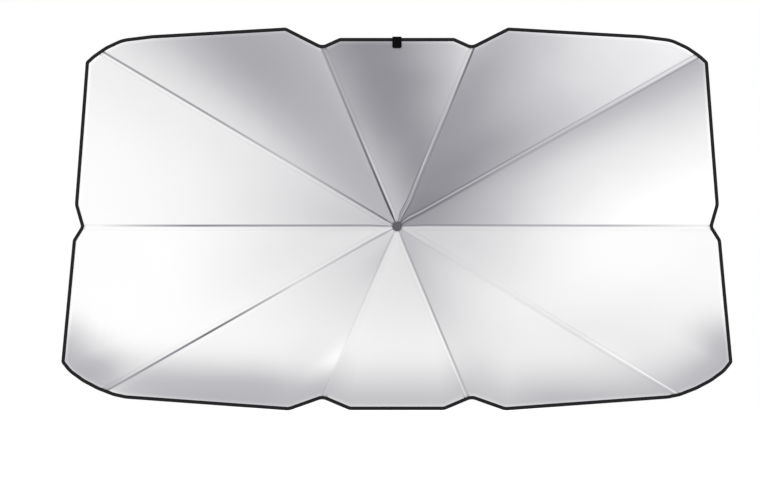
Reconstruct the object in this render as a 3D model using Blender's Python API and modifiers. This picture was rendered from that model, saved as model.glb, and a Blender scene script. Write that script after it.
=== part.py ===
"""A windscreen sunshade: ten silver cloth gores on folding ribs, on a telescopic shaft with a grip.

Metres. +X is to the right as seen from the silver side, +Z is up, and the silver side faces -Y.
The origin is the centre of the grip's end face, and the shaft lies along the Y axis.
Depth is measured from the ring of rib hinges towards the grip, so a larger depth is a larger Y.
"""

import math

import bmesh
import bpy
from mathutils import Matrix, Vector

MM = 0.001
GAP = 0.3 * MM  # running gap between pieces that touch
SEAM_GAP = 0.4 * MM  # between two gores along the rib under their seam

# Size of the open canopy, seen from the front and measured from the shaft.
CANOPY_HALF_WIDTH = 723.5 * MM  # out to the lower corners
CANOPY_ABOVE = 426.0 * MM  # up to the two peaks of the top edge
CANOPY_BELOW = 393.0 * MM  # down to the bottom edge

# Hem outline of the right half: x as a share of the half width, z as a share of the height above or
# below the shaft, and the radius that rounds the corner as a share of the half width.
HEM_CORNERS = (
    (0.00000, 0.94638, 0.00000),  # middle of the top edge
    (0.16951, 0.94638, 0.01382),  # shoulder of the top gore
    (0.22314, 0.90498, 0.00829),  # notch at the short upper rib
    (0.33248, 0.99996, 0.01382),  # peak of the top side gore
    (0.73149, 0.96421, 0.06911),  # bend before the long upper rib
    (0.82083, 0.94626, 0.11057),  # the long curve past the upper rib
    (0.86893, 0.90831, 0.11057),
    (0.90691, 0.86378, 0.11057),
    (0.92632, 0.83396, 0.00829),  # upper corner
    (0.95793, 0.11133, 0.04147),  # shoulder above the side rib
    (0.93847, -0.00106, 0.01659),  # notch at the side rib
    (0.96433, -0.07637, 0.01935),  # shoulder below the side rib
    (1.00004, -0.74601, 0.00968),  # lower corner
    (0.97820, -0.79568, 0.08293),  # the long curve past the lower rib
    (0.93922, -0.84708, 0.11057),
    (0.89510, -0.88934, 0.11057),
    (0.84639, -0.92365, 0.11057),
    (0.81044, -0.93775, 0.11057),
    (0.32241, -0.99990, 0.03455),  # peak of the bottom side gore
    (0.22160, -0.93332, 0.03455),  # notch at the short lower rib
    (0.14060, -0.99717, 0.02764),  # shoulder of the bottom gore
    (0.00000, -0.99717, 0.00000),  # middle of the bottom edge
)
ARC_STEP = math.radians(16)  # the turn of one straight piece of a rounded corner

# Rib angles above the +X axis on the right side, each from the place on the hem that the rib runs to.
UPPER_ANGLE = math.atan2(0.88473 * CANOPY_ABOVE, 0.88791 * CANOPY_HALF_WIDTH)
TOP_ANGLE = math.atan2(0.90573 * CANOPY_ABOVE, 0.22308 * CANOPY_HALF_WIDTH)
LOWER_ANGLE = math.atan2(-0.92523 * CANOPY_BELOW, 0.84644 * CANOPY_HALF_WIDTH)
BOTTOM_ANGLE = math.atan2(-0.94711 * CANOPY_BELOW, 0.22156 * CANOPY_HALF_WIDTH)
RIB_CLEAR = 0.012  # radians; a hem corner nearer than this to a rib is left to the rib's own point

# The shallow dome.
ROOT_SLOPE = math.radians(8.0)
TIP_SLOPE = math.radians(11.0)
TIP_SLOPE_AT = 1.02281 * CANOPY_HALF_WIDTH  # from the hub to where a rib has the tip slope
FOLD = math.radians(78.5)  # how far the ribs swing back

# Cloth and binding tape.
CLOTH_T = 0.8 * MM
CLOTH_ROWS = 6  # rows of faces from the hub to the hem
TAPE_W = 7.5 * MM
TAPE_T = 0.4 * MM
TAB_W = 20.0 * MM
TAB_H = 25.0 * MM
TAB_T = 1.6 * MM
TAB_ABOVE_HEM = 6.5 * MM
TAB_CORNER_R = 4.0 * MM

# Ribs and stretchers.
RIB_R = 1.5 * MM
RIB_OFFSET = 4.9 * MM  # from the line of its two pivots to the rod's middle
RIB_START = 5.5 * MM  # from the hinge to the start of the rod
STRETCHER_LEN = 95.0 * MM  # between its pivots, and from the rib's hinge to the fork
STRETCHER_R = 1.2 * MM
STRETCHER_INSET = 5.0 * MM  # from each of its pivots to the end of its rod
TONGUE_T = 1.6 * MM
TONGUE_W = 2.2 * MM
TONGUE_R = 1.7 * MM
EYE_R = 0.8 * MM
FORK_W = 4.4 * MM
FORK_R = 2.2 * MM
FORK_PIN_R = 0.9 * MM
TIP_R = 2.4 * MM
TIP_LEN = 12.0 * MM
TIP_BORE_DEPTH = 9.0 * MM
TIP_DROP = 1.7 * MM  # how much further the rod's end is from the cloth than its root
TIP_NOSE = 2.2 * MM  # length of the tip's rounded end
TIP_LIP = 1.0 * MM  # length of the taper at the tip's mouth

# Crown, hinge wire and cap.
PIVOT_R = 11.0 * MM  # radius of the hinge ring, the same on the runner
WIRE_R = 0.5 * MM
CROWN_R = PIVOT_R + 2.5 * MM
CROWN_EDGE = 1.5 * MM
CROWN_HALF = 3.5 * MM
CROWN_NECK_LEN = 9.0 * MM
CROWN_NECK_R = 7.0 * MM
SLOT_ROOF = 3.4 * MM  # from the hinge ring to the roof of a rib slot
CAP_R = PIVOT_R - 1.25 * MM
CAP_T = 3.0 * MM
CAP_RIM = 0.8 * MM  # height of the straight rim under its dome
CAP_STEM_LEN = 14.0 * MM
CLOTH_HOLE_R = CAP_R - 3.75 * MM  # the hole in the cloth that the cap covers
MOULD_EDGE = 0.8 * MM  # chamfer on the edges of the crown and the runner

# Shaft: three tubes that slide in each other.
TUBE_WALL = 0.7 * MM
REAR_TUBE_R = 6.0 * MM
TUBE_FRONT = 68.0 * MM  # depth of the mouths of the two outer tubes when pushed in
TUBE_STEP = 1.5 * MM  # how far each inner tube stands out of the next at both ends
SLIDE = 215.0 * MM  # travel of each of the two inner tubes

# Runner and its button.
RUNNER_FLANGE_R = PIVOT_R + 3.5 * MM
RUNNER_FLANGE_HALF = 4.0 * MM
RUNNER_LEN = 39.0 * MM  # from its hinge ring to its rear end
RUNNER_COLLAR_R = 10.6 * MM
RUNNER_COLLAR_LEN = 4.6 * MM
RUNNER_COLLAR_EDGE = 1.2 * MM
BUTTON_W = 4.4 * MM
BUTTON_LEN = 9.0 * MM
BUTTON_AT = 21.0 * MM  # from the runner's hinge ring
BUTTON_PROUD = 2.6 * MM
BUTTON_TRAVEL = 2.0 * MM
BUTTON_EDGE = 0.6 * MM

# Grip.
GRIP_R = 13.0 * MM
GRIP_WAIST_R = 11.2 * MM
GRIP_LEN = 112.0 * MM
GRIP_EDGE = 2.5 * MM
GRIP_END_WALL = 10.0 * MM
GRIP_CLEAR = 2.5 * MM  # between the grip and the folded runner
GRIP_GROOVES = 5
GRIP_GROOVE_DEPTH = 0.9 * MM

# Working values that aren't sizes of the object.
MERGE = 0.01 * MM  # points nearer than this are made one
CUT_PAST = 1.0 * MM  # how far a cutter reaches past the face that it cuts

# Sizes worked out from those above.
MIDDLE_TUBE_R = REAR_TUBE_R - TUBE_WALL - GAP
FRONT_TUBE_R = MIDDLE_TUBE_R - TUBE_WALL - GAP
SLEEVE_R = PIVOT_R - TONGUE_R - GAP
RUNNER_BORE_R = REAR_TUBE_R + GAP
RUNNER_OPEN = 2 * STRETCHER_LEN * math.sin(ROOT_SLOPE)
RUNNER_TRAVEL = 2 * STRETCHER_LEN * math.sin(ROOT_SLOPE + FOLD) - RUNNER_OPEN
GRIP_FRONT = RUNNER_OPEN + RUNNER_TRAVEL + RUNNER_LEN + GRIP_CLEAR
PIVOT_Y = -(GRIP_FRONT + GRIP_LEN)
BEND = (math.tan(TIP_SLOPE) - math.tan(ROOT_SLOPE)) / (2 * TIP_SLOPE_AT)

RIBS = {
    "right": 0.0,
    "upper_right": UPPER_ANGLE,
    "top_right": TOP_ANGLE,
    "top_left": math.pi - TOP_ANGLE,
    "upper_left": math.pi - UPPER_ANGLE,
    "left": math.pi,
    "lower_left": math.pi - LOWER_ANGLE,
    "bottom_left": math.pi - BOTTOM_ANGLE,
    "bottom_right": 2 * math.pi + BOTTOM_ANGLE,
    "lower_right": 2 * math.pi + LOWER_ANGLE,
}
# Each gore reaches anticlockwise from the rib that carries it to the next rib.
GORES = {
    "right_upper": "right",
    "top_right": "upper_right",
    "top": "top_right",
    "top_left": "top_left",
    "left_upper": "upper_left",
    "left_lower": "left",
    "bottom_left": "lower_left",
    "bottom": "bottom_left",
    "bottom_right": "bottom_right",
    "right_lower": "lower_right",
}


def clear_scene():
    for thing in list(bpy.data.objects):
        bpy.data.objects.remove(thing, do_unlink=True)


def new_collection(name):
    made = bpy.data.collections.new(name)
    bpy.context.scene.collection.children.link(made)
    return made


def new_material(name, colour, roughness, metallic):
    made = bpy.data.materials.new(name)
    made.use_nodes = True
    shader = made.node_tree.nodes["Principled BSDF"]
    shader.inputs["Base Color"].default_value = (*colour, 1.0)
    shader.inputs["Roughness"].default_value = roughness
    shader.inputs["Metallic"].default_value = metallic
    made.diffuse_color = (*colour, 1.0)
    return made


def new_object(name, mesh, material, collection):
    made = bpy.data.objects.new(name, mesh)
    collection.objects.link(made)
    if material and not mesh.materials:
        mesh.materials.append(material)
    return made


def hold(child, parent):
    """Parents child to parent and leaves it where it is."""
    bpy.context.view_layer.update()
    world = child.matrix_world.copy()
    child.parent = parent
    child.matrix_parent_inverse = parent.matrix_world.inverted()
    child.matrix_world = world


def smooth(mesh, angle=math.radians(35)):
    mesh.shade_smooth()
    mesh.set_sharp_from_angle(angle=angle)


def evaluated_mesh(thing):
    """The object's evaluated mesh with its doubles merged, after which the object is removed."""
    bpy.context.view_layer.update()
    graph = bpy.context.evaluated_depsgraph_get()
    mesh = bpy.data.meshes.new_from_object(thing.evaluated_get(graph), depsgraph=graph)
    bm = bmesh.new()
    bm.from_mesh(mesh)
    bmesh.ops.remove_doubles(bm, verts=bm.verts, dist=MERGE)
    bm.to_mesh(mesh)
    bm.free()
    bpy.data.objects.remove(thing, do_unlink=True)
    return mesh


def turned(name, profile, steps, material, collection):
    """A piece turned about the shaft. The profile holds (radius, depth) points down its outer side.

    A profile that starts on the axis is open; any other is closed into a ring.
    """
    mesh = bpy.data.meshes.new(name)
    closed = profile[0][0] > 0
    points = [(r, 0.0, -depth) for r, depth in profile]
    count = len(points)
    edges = [(i, i + 1) for i in range(count - 1)]
    if closed:
        edges.append((count - 1, 0))
    mesh.from_pydata(points, edges, [])
    made = new_object(name, mesh, material, collection)
    screw = made.modifiers.new("turn", "SCREW")
    screw.axis = "Z"
    screw.steps = steps
    screw.render_steps = steps
    screw.use_merge_vertices = True
    screw.merge_threshold = MERGE
    made.rotation_euler = (math.pi / 2, 0.0, 0.0)
    made.location = (0.0, PIVOT_Y, 0.0)
    return made


def flat_plate(name, outline, holes, thickness, collection):
    """A plate in the local XY plane, from a closed outline and round holes given as (x, y, radius, sides)."""
    curve = bpy.data.curves.new(name, "CURVE")
    curve.dimensions = "2D"
    curve.fill_mode = "BOTH"
    curve.extrude = thickness / 2
    loops = [outline]
    for x, y, radius, sides in holes:
        turn = 2 * math.pi / sides
        spokes = [(math.cos(turn * i), math.sin(turn * i)) for i in range(sides)]
        loops.append([(x + radius * across, y + radius * up) for across, up in spokes])
    for loop in loops:
        spline = curve.splines.new("POLY")
        spline.points.add(len(loop) - 1)
        for point, (x, y) in zip(spline.points, loop):
            point.co = (x, y, 0.0, 1.0)
        spline.use_cyclic_u = True
    made = bpy.data.objects.new(name, curve)
    collection.objects.link(made)
    return evaluated_mesh(made)


def rod(name, points, radius, collection):
    """A round rod through the points, with closed ends."""
    curve = bpy.data.curves.new(name, "CURVE")
    curve.dimensions = "3D"
    curve.bevel_depth = radius
    curve.bevel_resolution = 2
    curve.use_fill_caps = True
    spline = curve.splines.new("POLY")
    spline.points.add(len(points) - 1)
    for point, place in zip(spline.points, points):
        point.co = (*place, 1.0)
    made = bpy.data.objects.new(name, curve)
    collection.objects.link(made)
    return evaluated_mesh(made)


def block(name, size, centre, collection):
    """A box used as a cutter."""
    mesh = bpy.data.meshes.new(name)
    bm = bmesh.new()
    bmesh.ops.create_cube(bm, size=1.0)
    bmesh.ops.scale(bm, vec=size, verts=bm.verts)
    bmesh.ops.translate(bm, vec=centre, verts=bm.verts)
    bm.to_mesh(mesh)
    bm.free()
    made = new_object(name, mesh, None, collection)
    made.hide_render = True
    made.display_type = "WIRE"
    return made


def combine(thing, other, operation):
    made = thing.modifiers.new(operation.lower(), "BOOLEAN")
    made.operation = operation
    made.object = other
    made.solver = "EXACT"


def fillet(before, corner, after, radius):
    """Points of the arc that rounds a corner, or the corner itself when the radius is zero."""
    here = Vector(corner)
    back = (Vector(before) - here).normalized()
    on = (Vector(after) - here).normalized()
    turn = math.pi - back.angle(on)
    if radius <= 0 or turn < 1e-4:
        return [tuple(here)]
    reach = radius * math.tan(turn / 2)
    start = here + back * reach
    end = here + on * reach
    steps = max(1, math.ceil(turn / ARC_STEP))
    centre = here + (back + on).normalized() * math.hypot(radius, reach)
    points = []
    for i in range(steps + 1):
        way = (start - centre).normalized().slerp((end - centre).normalized(), i / steps)
        points.append(tuple(centre + way * radius))
    return points


def hem_half():
    """The rounded outline of the right half, from the middle of the top to the middle of the bottom."""
    corners = []
    for across, up, bend in HEM_CORNERS:
        height = CANOPY_ABOVE if up > 0 else CANOPY_BELOW
        corners.append((across * CANOPY_HALF_WIDTH, up * height, bend * CANOPY_HALF_WIDTH))
    points = [corners[0][:2]]
    for before, corner, after in zip(corners, corners[1:], corners[2:]):
        points += fillet(before[:2], corner[:2], after[:2], corner[2])
    points.append(corners[-1][:2])
    return points


def hem_loop():
    """The whole outline, anticlockwise from the middle of the bottom edge."""
    right = hem_half()[::-1]
    left = [(-x, z) for x, z in right[::-1]]
    return right + left[1:-1]


def on_hem(loop, angle):
    """The point where the ray from the hub at this angle meets the outline."""
    way = Vector((math.cos(angle), math.sin(angle)))
    side = Vector((-way.y, way.x))
    for a, b in zip(loop, loop[1:] + loop[:1]):
        p, q = Vector(a), Vector(b)
        dp, dq = p.dot(side), q.dot(side)
        if dp <= 0 < dq and p.dot(way) > 0:
            return tuple(p.lerp(q, dp / (dp - dq)))
    raise ValueError("the outline has no point at this angle")


def hem_stretch(loop, start, end):
    """The outline's points from one rib to the next, both rib ends included."""
    span = end - start
    between = []
    for x, z in loop:
        past = (math.atan2(z, x) - start) % (2 * math.pi)
        if RIB_CLEAR < past < span - RIB_CLEAR:
            between.append((past, (x, z)))
    between.sort()
    return [on_hem(loop, start)] + [point for _, point in between] + [on_hem(loop, end)]


def hem_normals(points, start, end):
    """Outward mitres along a stretch of hem; at the two ribs they lie along the rib."""
    sides = []
    for a, b in zip(points, points[1:]):
        step = (Vector(b) - Vector(a)).normalized()
        sides.append(Vector((step.y, -step.x)))
    mitres = []
    for i in range(len(points)):
        if i == 0:
            along = Vector((math.cos(start), math.sin(start)))
            mitres.append(along / along.dot(sides[0]))
        elif i == len(points) - 1:
            along = Vector((math.cos(end), math.sin(end)))
            mitres.append(along / along.dot(sides[-1]))
        else:
            both = sides[i - 1] + sides[i]
            mitres.append(both / both.dot(sides[i]))
    return mitres


def cloth_depth(distance):
    """Depth of the cloth's middle surface over a rib, at a distance from the shaft's axis."""
    past = distance - PIVOT_R
    slope = math.tan(ROOT_SLOPE) + 2 * BEND * past
    lift = (RIB_OFFSET + RIB_R + GAP + CLOTH_T / 2) * math.hypot(1.0, slope)
    return math.tan(ROOT_SLOPE) * past + BEND * past * past - lift


def gore_depth(x, z, start, end):
    """Depth of the cloth in the gore between two ribs, which is flat from one rib across to the next."""
    middle = (start + end) / 2
    half = (end - start) / 2
    along = (x * math.cos(middle) + z * math.sin(middle)) / math.cos(half)
    return cloth_depth(along)


def seam_shift(start, end, share):
    """The small step sideways that parts a gore from its neighbours along the ribs."""
    first = Vector((-math.sin(start), math.cos(start))) * (1 - share)
    last = Vector((-math.sin(end), math.cos(end))) * share
    return (first - last) * (SEAM_GAP / 2)


def sheet(name, columns, rows, place, thickness, material, collection):
    """A sheet from a grid whose every point is put where place(column, row) says, then thickened."""
    mesh = bpy.data.meshes.new(name)
    bm = bmesh.new()
    bmesh.ops.create_grid(bm, x_segments=columns, y_segments=rows, size=1.0)
    for vert in bm.verts:
        column = round((vert.co.x + 1) / 2 * columns)
        row = round((vert.co.y + 1) / 2 * rows)
        vert.co = place(column, row)
    bm.to_mesh(mesh)
    bm.free()
    smooth(mesh)
    made = new_object(name, mesh, material, collection)
    solidify = made.modifiers.new("thickness", "SOLIDIFY")
    solidify.thickness = thickness
    solidify.offset = 0.0
    solidify.use_even_offset = True
    return made


def make_gore(name, loop, start, end, material, collection):
    """One cloth gore, from the hole at the hub to the fold of the binding tape."""
    hem = hem_stretch(loop, start, end)
    mitres = hem_normals(hem, start, end)
    reach = TAPE_W / 2 - TAPE_T - GAP

    def place(column, row):
        edge = Vector(hem[column]) + mitres[column] * reach
        away = math.atan2(edge.y, edge.x)
        length = CLOTH_HOLE_R + (edge.length - CLOTH_HOLE_R) * row / CLOTH_ROWS
        spot = Vector((math.cos(away), math.sin(away))) * length
        depth = gore_depth(spot.x, spot.y, start, end)
        spot += seam_shift(start, end, column / (len(hem) - 1))
        return Vector((spot.x, PIVOT_Y + depth, spot.y))

    return sheet(name, len(hem) - 1, CLOTH_ROWS, place, CLOTH_T, material, collection)


def make_binding(name, loop, start, end, material, collection):
    """The tape that is folded over a gore's hem: a front flange, the fold and a back flange."""
    hem = hem_stretch(loop, start, end)
    mitres = hem_normals(hem, start, end)
    outer = TAPE_W / 2 - TAPE_T / 2
    half = CLOTH_T / 2 + GAP + TAPE_T / 2
    section = ((-TAPE_W / 2, -half), (outer, -half), (outer, half), (-TAPE_W / 2, half))

    def place(column, row):
        out, lift = section[row]
        spot = Vector(hem[column]) + mitres[column] * out
        depth = gore_depth(spot.x, spot.y, start, end) + lift
        spot += seam_shift(start, end, column / (len(hem) - 1))
        return Vector((spot.x, PIVOT_Y + depth, spot.y))

    return sheet(name, len(hem) - 1, len(section) - 1, place, TAPE_T, material, collection)


def make_tab(name, loop, start, end, material, collection):
    """The closing tab, a flat tongue of webbing sewn over the middle of the top hem."""
    top = on_hem(loop, math.pi / 2)[1] + TAB_ABOVE_HEM
    bottom = top - TAB_H
    half = TAB_W / 2
    corner = ((half, 0.0), (half, -TAB_H), (-half, -TAB_H), (-half, 0.0))
    outline = [corner[0]]
    outline += fillet(corner[0], corner[1], corner[2], TAB_CORNER_R)
    outline += fillet(corner[1], corner[2], corner[3], TAB_CORNER_R)
    outline.append(corner[3])
    mesh = flat_plate(name, outline, (), TAB_T, collection)
    made = new_object(name, mesh, material, collection)
    high = gore_depth(0.0, top, start, end)
    low = gore_depth(0.0, bottom, start, end)
    tilt = math.atan2(high - low, TAB_H)
    lift = CLOTH_T / 2 + TAPE_T + 2 * GAP + TAB_T / 2
    made.rotation_euler = (math.pi / 2 - tilt, 0.0, 0.0)
    made.location = (0.0, PIVOT_Y + high - lift, top)
    return made


def rib_stations(length):
    """Distances from the axis at which the cloth over a rib of this length has its rows."""
    reach = length + TAPE_W / 2 - TAPE_T - GAP
    return [CLOTH_HOLE_R + (reach - CLOTH_HOLE_R) * i / CLOTH_ROWS for i in range(CLOTH_ROWS + 1)]


def rod_depth(distance, length):
    """Depth of the rod's middle: it follows the cloth's straight runs and drops a little towards its tip."""
    stations = rib_stations(length)
    for a, b in zip(stations, stations[1:]):
        if distance <= b or b == stations[-1]:
            share = (distance - a) / (b - a)
            cloth = cloth_depth(a) * (1 - share) + cloth_depth(b) * share
            break
    slope = math.tan(ROOT_SLOPE) + 2 * BEND * (distance - PIVOT_R)
    drop = CLOTH_T / 2 + GAP + RIB_R + TIP_DROP * distance / length
    return cloth + drop * math.hypot(1.0, slope)


def eye_plate(name, start, end, width, radius, hole, thickness, collection):
    """A tongue with a rounded end and an eye round start, running to end, in the local XY plane."""
    a, b = Vector(start), Vector(end)
    along = (b - a).normalized()
    side = Vector((-along.y, along.x))
    outline = [tuple(b - side * width / 2), tuple(b + side * width / 2)]
    steps = 6
    for i in range(steps + 1):
        turn = math.pi * i / steps
        outline.append(tuple(a + side * radius * math.cos(turn) - along * radius * math.sin(turn)))
    holes = ((a.x, a.y, hole, 8),) if hole else ()
    return flat_plate(name, outline, holes, thickness, collection)


def rib_path(length):
    """The rod's middle line in the rib's own frame: x outwards and y back from its hinge."""
    first = PIVOT_R + RIB_START * math.cos(ROOT_SLOPE)
    last = length - TIP_LEN + TIP_BORE_DEPTH
    distances = [first] + [s for s in rib_stations(length) if first < s < last] + [last]
    return [Vector((d - PIVOT_R, rod_depth(d, length), 0.0)) for d in distances]


def make_rib_mesh(name, length, material, cutters, scratch):
    """A rib: its rod, the tongue with the hinge eye, and the fork that takes the stretcher."""
    path = rib_path(length)
    parts = new_object(name + "_rod", rod(name + "_rod", path, RIB_R, scratch), material, scratch)
    root = path[0] + (path[1] - path[0]).normalized() * RIB_R
    tongue = eye_plate(
        name + "_tongue", (0.0, 0.0), tuple(root.xy), TONGUE_W, TONGUE_R, EYE_R, TONGUE_T, scratch
    )
    tongue_piece = new_object(name + "_tongue", tongue, material, cutters)
    along = Vector((math.cos(ROOT_SLOPE), math.sin(ROOT_SLOPE)))
    pin = along * STRETCHER_LEN
    seat = Vector((pin.x, rod_depth(PIVOT_R + pin.x, length)))
    fork = eye_plate(
        name + "_fork", tuple(pin), tuple(seat), 2 * FORK_R, FORK_R, FORK_PIN_R + GAP, FORK_W, scratch
    )
    fork_piece = new_object(name + "_fork", fork, material, cutters)
    slot_depth = (seat - pin).length - RIB_R - GAP
    slot_size = (4 * FORK_R, 4 * FORK_R, TONGUE_T + 2 * GAP)
    up = (seat - pin).normalized()
    slot_middle = pin + up * (slot_depth - 2 * FORK_R)
    slot = block(name + "_slot", slot_size, (slot_middle.x, slot_middle.y, 0.0), cutters)
    combine(fork_piece, slot, "DIFFERENCE")
    combine(parts, tongue_piece, "UNION")
    combine(parts, fork_piece, "UNION")
    mesh = evaluated_mesh(parts)
    for piece in (tongue_piece, fork_piece, slot):
        bpy.data.objects.remove(piece, do_unlink=True)
    smooth(mesh)
    return mesh


def make_stretcher_mesh(name, material, cutters, scratch):
    """A stretcher along the local X axis, from its pin in the rib's fork to its tongue at the runner."""
    length = STRETCHER_LEN
    inset = STRETCHER_INSET
    path = [(inset, 0.0, 0.0), (length - inset, 0.0, 0.0)]
    parts = new_object(name, rod(name, path, STRETCHER_R, scratch), material, scratch)
    tongues = []
    for at, way in ((0.0, 1.0), (length, -1.0)):
        end = at + way * (inset + STRETCHER_R)
        plate = eye_plate(
            name + "_tongue", (at, 0.0), (end, 0.0), 0.8 * TONGUE_W, TONGUE_R, 0.0, TONGUE_T, scratch
        )
        tongues.append(new_object(name + "_tongue", plate, material, cutters))
    pin = bpy.data.meshes.new(name + "_pin")
    bm = bmesh.new()
    bmesh.ops.create_cone(
        bm, cap_ends=True, segments=8, radius1=FORK_PIN_R, radius2=FORK_PIN_R, depth=FORK_W - 2 * GAP
    )
    bm.to_mesh(pin)
    bm.free()
    tongues.append(new_object(name + "_pin", pin, material, cutters))
    for piece in tongues:
        combine(parts, piece, "UNION")
    mesh = evaluated_mesh(parts)
    for piece in tongues:
        bpy.data.objects.remove(piece, do_unlink=True)
    smooth(mesh)
    return mesh


def make_tip_mesh(name, material):
    """A moulded tip, turned about the local X axis, with a blind bore for the rod's end."""
    bore = RIB_R + GAP
    lip = TIP_R * 0.8
    length = TIP_LEN
    profile = (
        (bore, 0.0),
        (bore, TIP_BORE_DEPTH + GAP),
        (0.0, TIP_BORE_DEPTH + GAP),
        (0.0, length),
        (TIP_R * 0.55, length - TIP_NOSE * 0.14),
        (TIP_R * 0.9, length - TIP_NOSE / 2),
        (TIP_R, length - TIP_NOSE),
        (TIP_R, TIP_LIP),
        (lip + (TIP_R - lip) / 2, 0.0),
    )
    mesh = bpy.data.meshes.new(name)
    bm = bmesh.new()
    verts = [bm.verts.new((along, radius, 0.0)) for radius, along in profile]
    edges = [bm.edges.new((verts[i], verts[(i + 1) % len(verts)])) for i in range(len(verts)) if i != 2]
    bmesh.ops.spin(
        bm,
        geom=verts + edges,
        cent=(0.0, 0.0, 0.0),
        axis=(1.0, 0.0, 0.0),
        angle=2 * math.pi,
        steps=8,
        use_merge=True,
    )
    bmesh.ops.remove_doubles(bm, verts=bm.verts, dist=MERGE)
    bmesh.ops.recalc_face_normals(bm, faces=bm.faces)
    bm.to_mesh(mesh)
    bm.free()
    mesh.materials.append(material)
    smooth(mesh)
    return mesh


def rib_place(angle, distance, depth, slope):
    """The matrix that puts something on a rib's plane, with its x axis outwards and turned by the slope."""
    place = Vector((math.cos(angle) * distance, PIVOT_Y + depth, math.sin(angle) * distance))
    return Matrix.Translation(place) @ Matrix.Rotation(-angle, 4, "Y") @ Matrix.Rotation(slope, 4, "Z")


def make_crown(material, collection, cutters):
    """The notched crown that the ribs hinge in, with the groove for its wire and a neck round the shaft."""
    bore = FRONT_TUBE_R + GAP
    groove = PIVOT_R - WIRE_R - GAP
    groove_half = WIRE_R + GAP
    top = cloth_depth(CROWN_R) + CLOTH_T / 2 + GAP
    profile = (
        (bore, top),
        (CROWN_R - CROWN_EDGE, top),
        (CROWN_R, top + CROWN_EDGE * 0.67),
        (CROWN_R, -groove_half),
        (groove, -groove_half),
        (groove, groove_half),
        (CROWN_R, groove_half),
        (CROWN_R, CROWN_HALF - MOULD_EDGE),
        (CROWN_R - MOULD_EDGE, CROWN_HALF),
        (CROWN_NECK_R, CROWN_HALF),
        (CROWN_NECK_R, CROWN_NECK_LEN),
        (bore, CROWN_NECK_LEN),
    )
    made = turned("crown", profile, 30, material, collection)
    cut_slots(made, TONGUE_T + 2 * GAP, CROWN_R, -SLOT_ROOF, CROWN_NECK_LEN, cutters)
    return made


def cut_slots(thing, width, outer, front, back, cutters):
    """Cuts one slot for each rib, from just outside the sleeve outwards, between two depths."""
    length = outer - SLEEVE_R + 2 * CUT_PAST
    size = (length, back - front, width)
    middle = (SLEEVE_R + length / 2, (front + back) / 2, 0.0)
    for name, angle in RIBS.items():
        slot = block(thing.name + "_slot_" + name, size, middle, cutters)
        slot.location = (0.0, PIVOT_Y, 0.0)
        slot.rotation_euler = (0.0, -angle, 0.0)
        combine(thing, slot, "DIFFERENCE")


def make_runner(material, collection, cutters):
    """The runner: a slotted flange for the stretchers, a sleeve, a finger collar and the button's window."""
    at = RUNNER_OPEN
    front = at - RUNNER_FLANGE_HALF
    flange_back = at + RUNNER_FLANGE_HALF
    rear = at + RUNNER_LEN
    sleeve = SLEEVE_R - GAP
    profile = (
        (RUNNER_BORE_R, front),
        (RUNNER_FLANGE_R - MOULD_EDGE, front),
        (RUNNER_FLANGE_R, front + MOULD_EDGE),
        (RUNNER_FLANGE_R, flange_back - MOULD_EDGE),
        (RUNNER_FLANGE_R - MOULD_EDGE, flange_back),
        (sleeve, flange_back),
        (sleeve, rear - RUNNER_COLLAR_LEN),
        (RUNNER_COLLAR_R, rear - RUNNER_COLLAR_LEN + RUNNER_COLLAR_EDGE),
        (RUNNER_COLLAR_R, rear - RUNNER_COLLAR_EDGE),
        (RUNNER_COLLAR_R - RUNNER_COLLAR_EDGE, rear),
        (RUNNER_BORE_R, rear),
    )
    made = turned("runner", profile, 30, material, collection)
    slot_width = 2 * STRETCHER_R + 2 * GAP
    cut_slots(made, slot_width, RUNNER_FLANGE_R, front - CUT_PAST, flange_back + CUT_PAST, cutters)
    window = (BUTTON_W + 2 * GAP, BUTTON_LEN + 2 * GAP, sleeve)
    slot = block("runner_window", window, (0.0, at + BUTTON_AT, sleeve), cutters)
    slot.location = (0.0, PIVOT_Y, 0.0)
    combine(made, slot, "DIFFERENCE")
    return made


def make_button(material, collection):
    """The runner's release button, which is pressed towards the shaft."""
    sleeve = SLEEVE_R - GAP
    low = RUNNER_BORE_R + BUTTON_TRAVEL + GAP
    high = sleeve + BUTTON_PROUD
    mesh = bpy.data.meshes.new("runner_button")
    bm = bmesh.new()
    bmesh.ops.create_cube(bm, size=1.0)
    bmesh.ops.scale(bm, vec=(BUTTON_W, BUTTON_LEN, high - low), verts=bm.verts)
    bm.to_mesh(mesh)
    bm.free()
    made = new_object("runner_button", mesh, material, collection)
    made.location = (0.0, PIVOT_Y + RUNNER_OPEN + BUTTON_AT, (high + low) / 2)
    bevel = made.modifiers.new("edges", "BEVEL")
    bevel.width = BUTTON_EDGE
    bevel.segments = 2
    return made


def make_wire(material, collection):
    """The wire ring that the rib eyes turn on."""
    bpy.ops.mesh.primitive_torus_add(
        major_radius=PIVOT_R, minor_radius=WIRE_R, major_segments=60, minor_segments=6
    )
    ring = bpy.context.active_object
    for owner in list(ring.users_collection):
        owner.objects.unlink(ring)
    collection.objects.link(ring)
    ring.name = "crown_wire"
    ring.data.name = "crown_wire"
    ring.data.materials.append(material)
    ring.data.shade_smooth()
    ring.rotation_euler = (math.pi / 2, 0.0, 0.0)
    ring.location = (0.0, PIVOT_Y, 0.0)
    return ring


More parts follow.
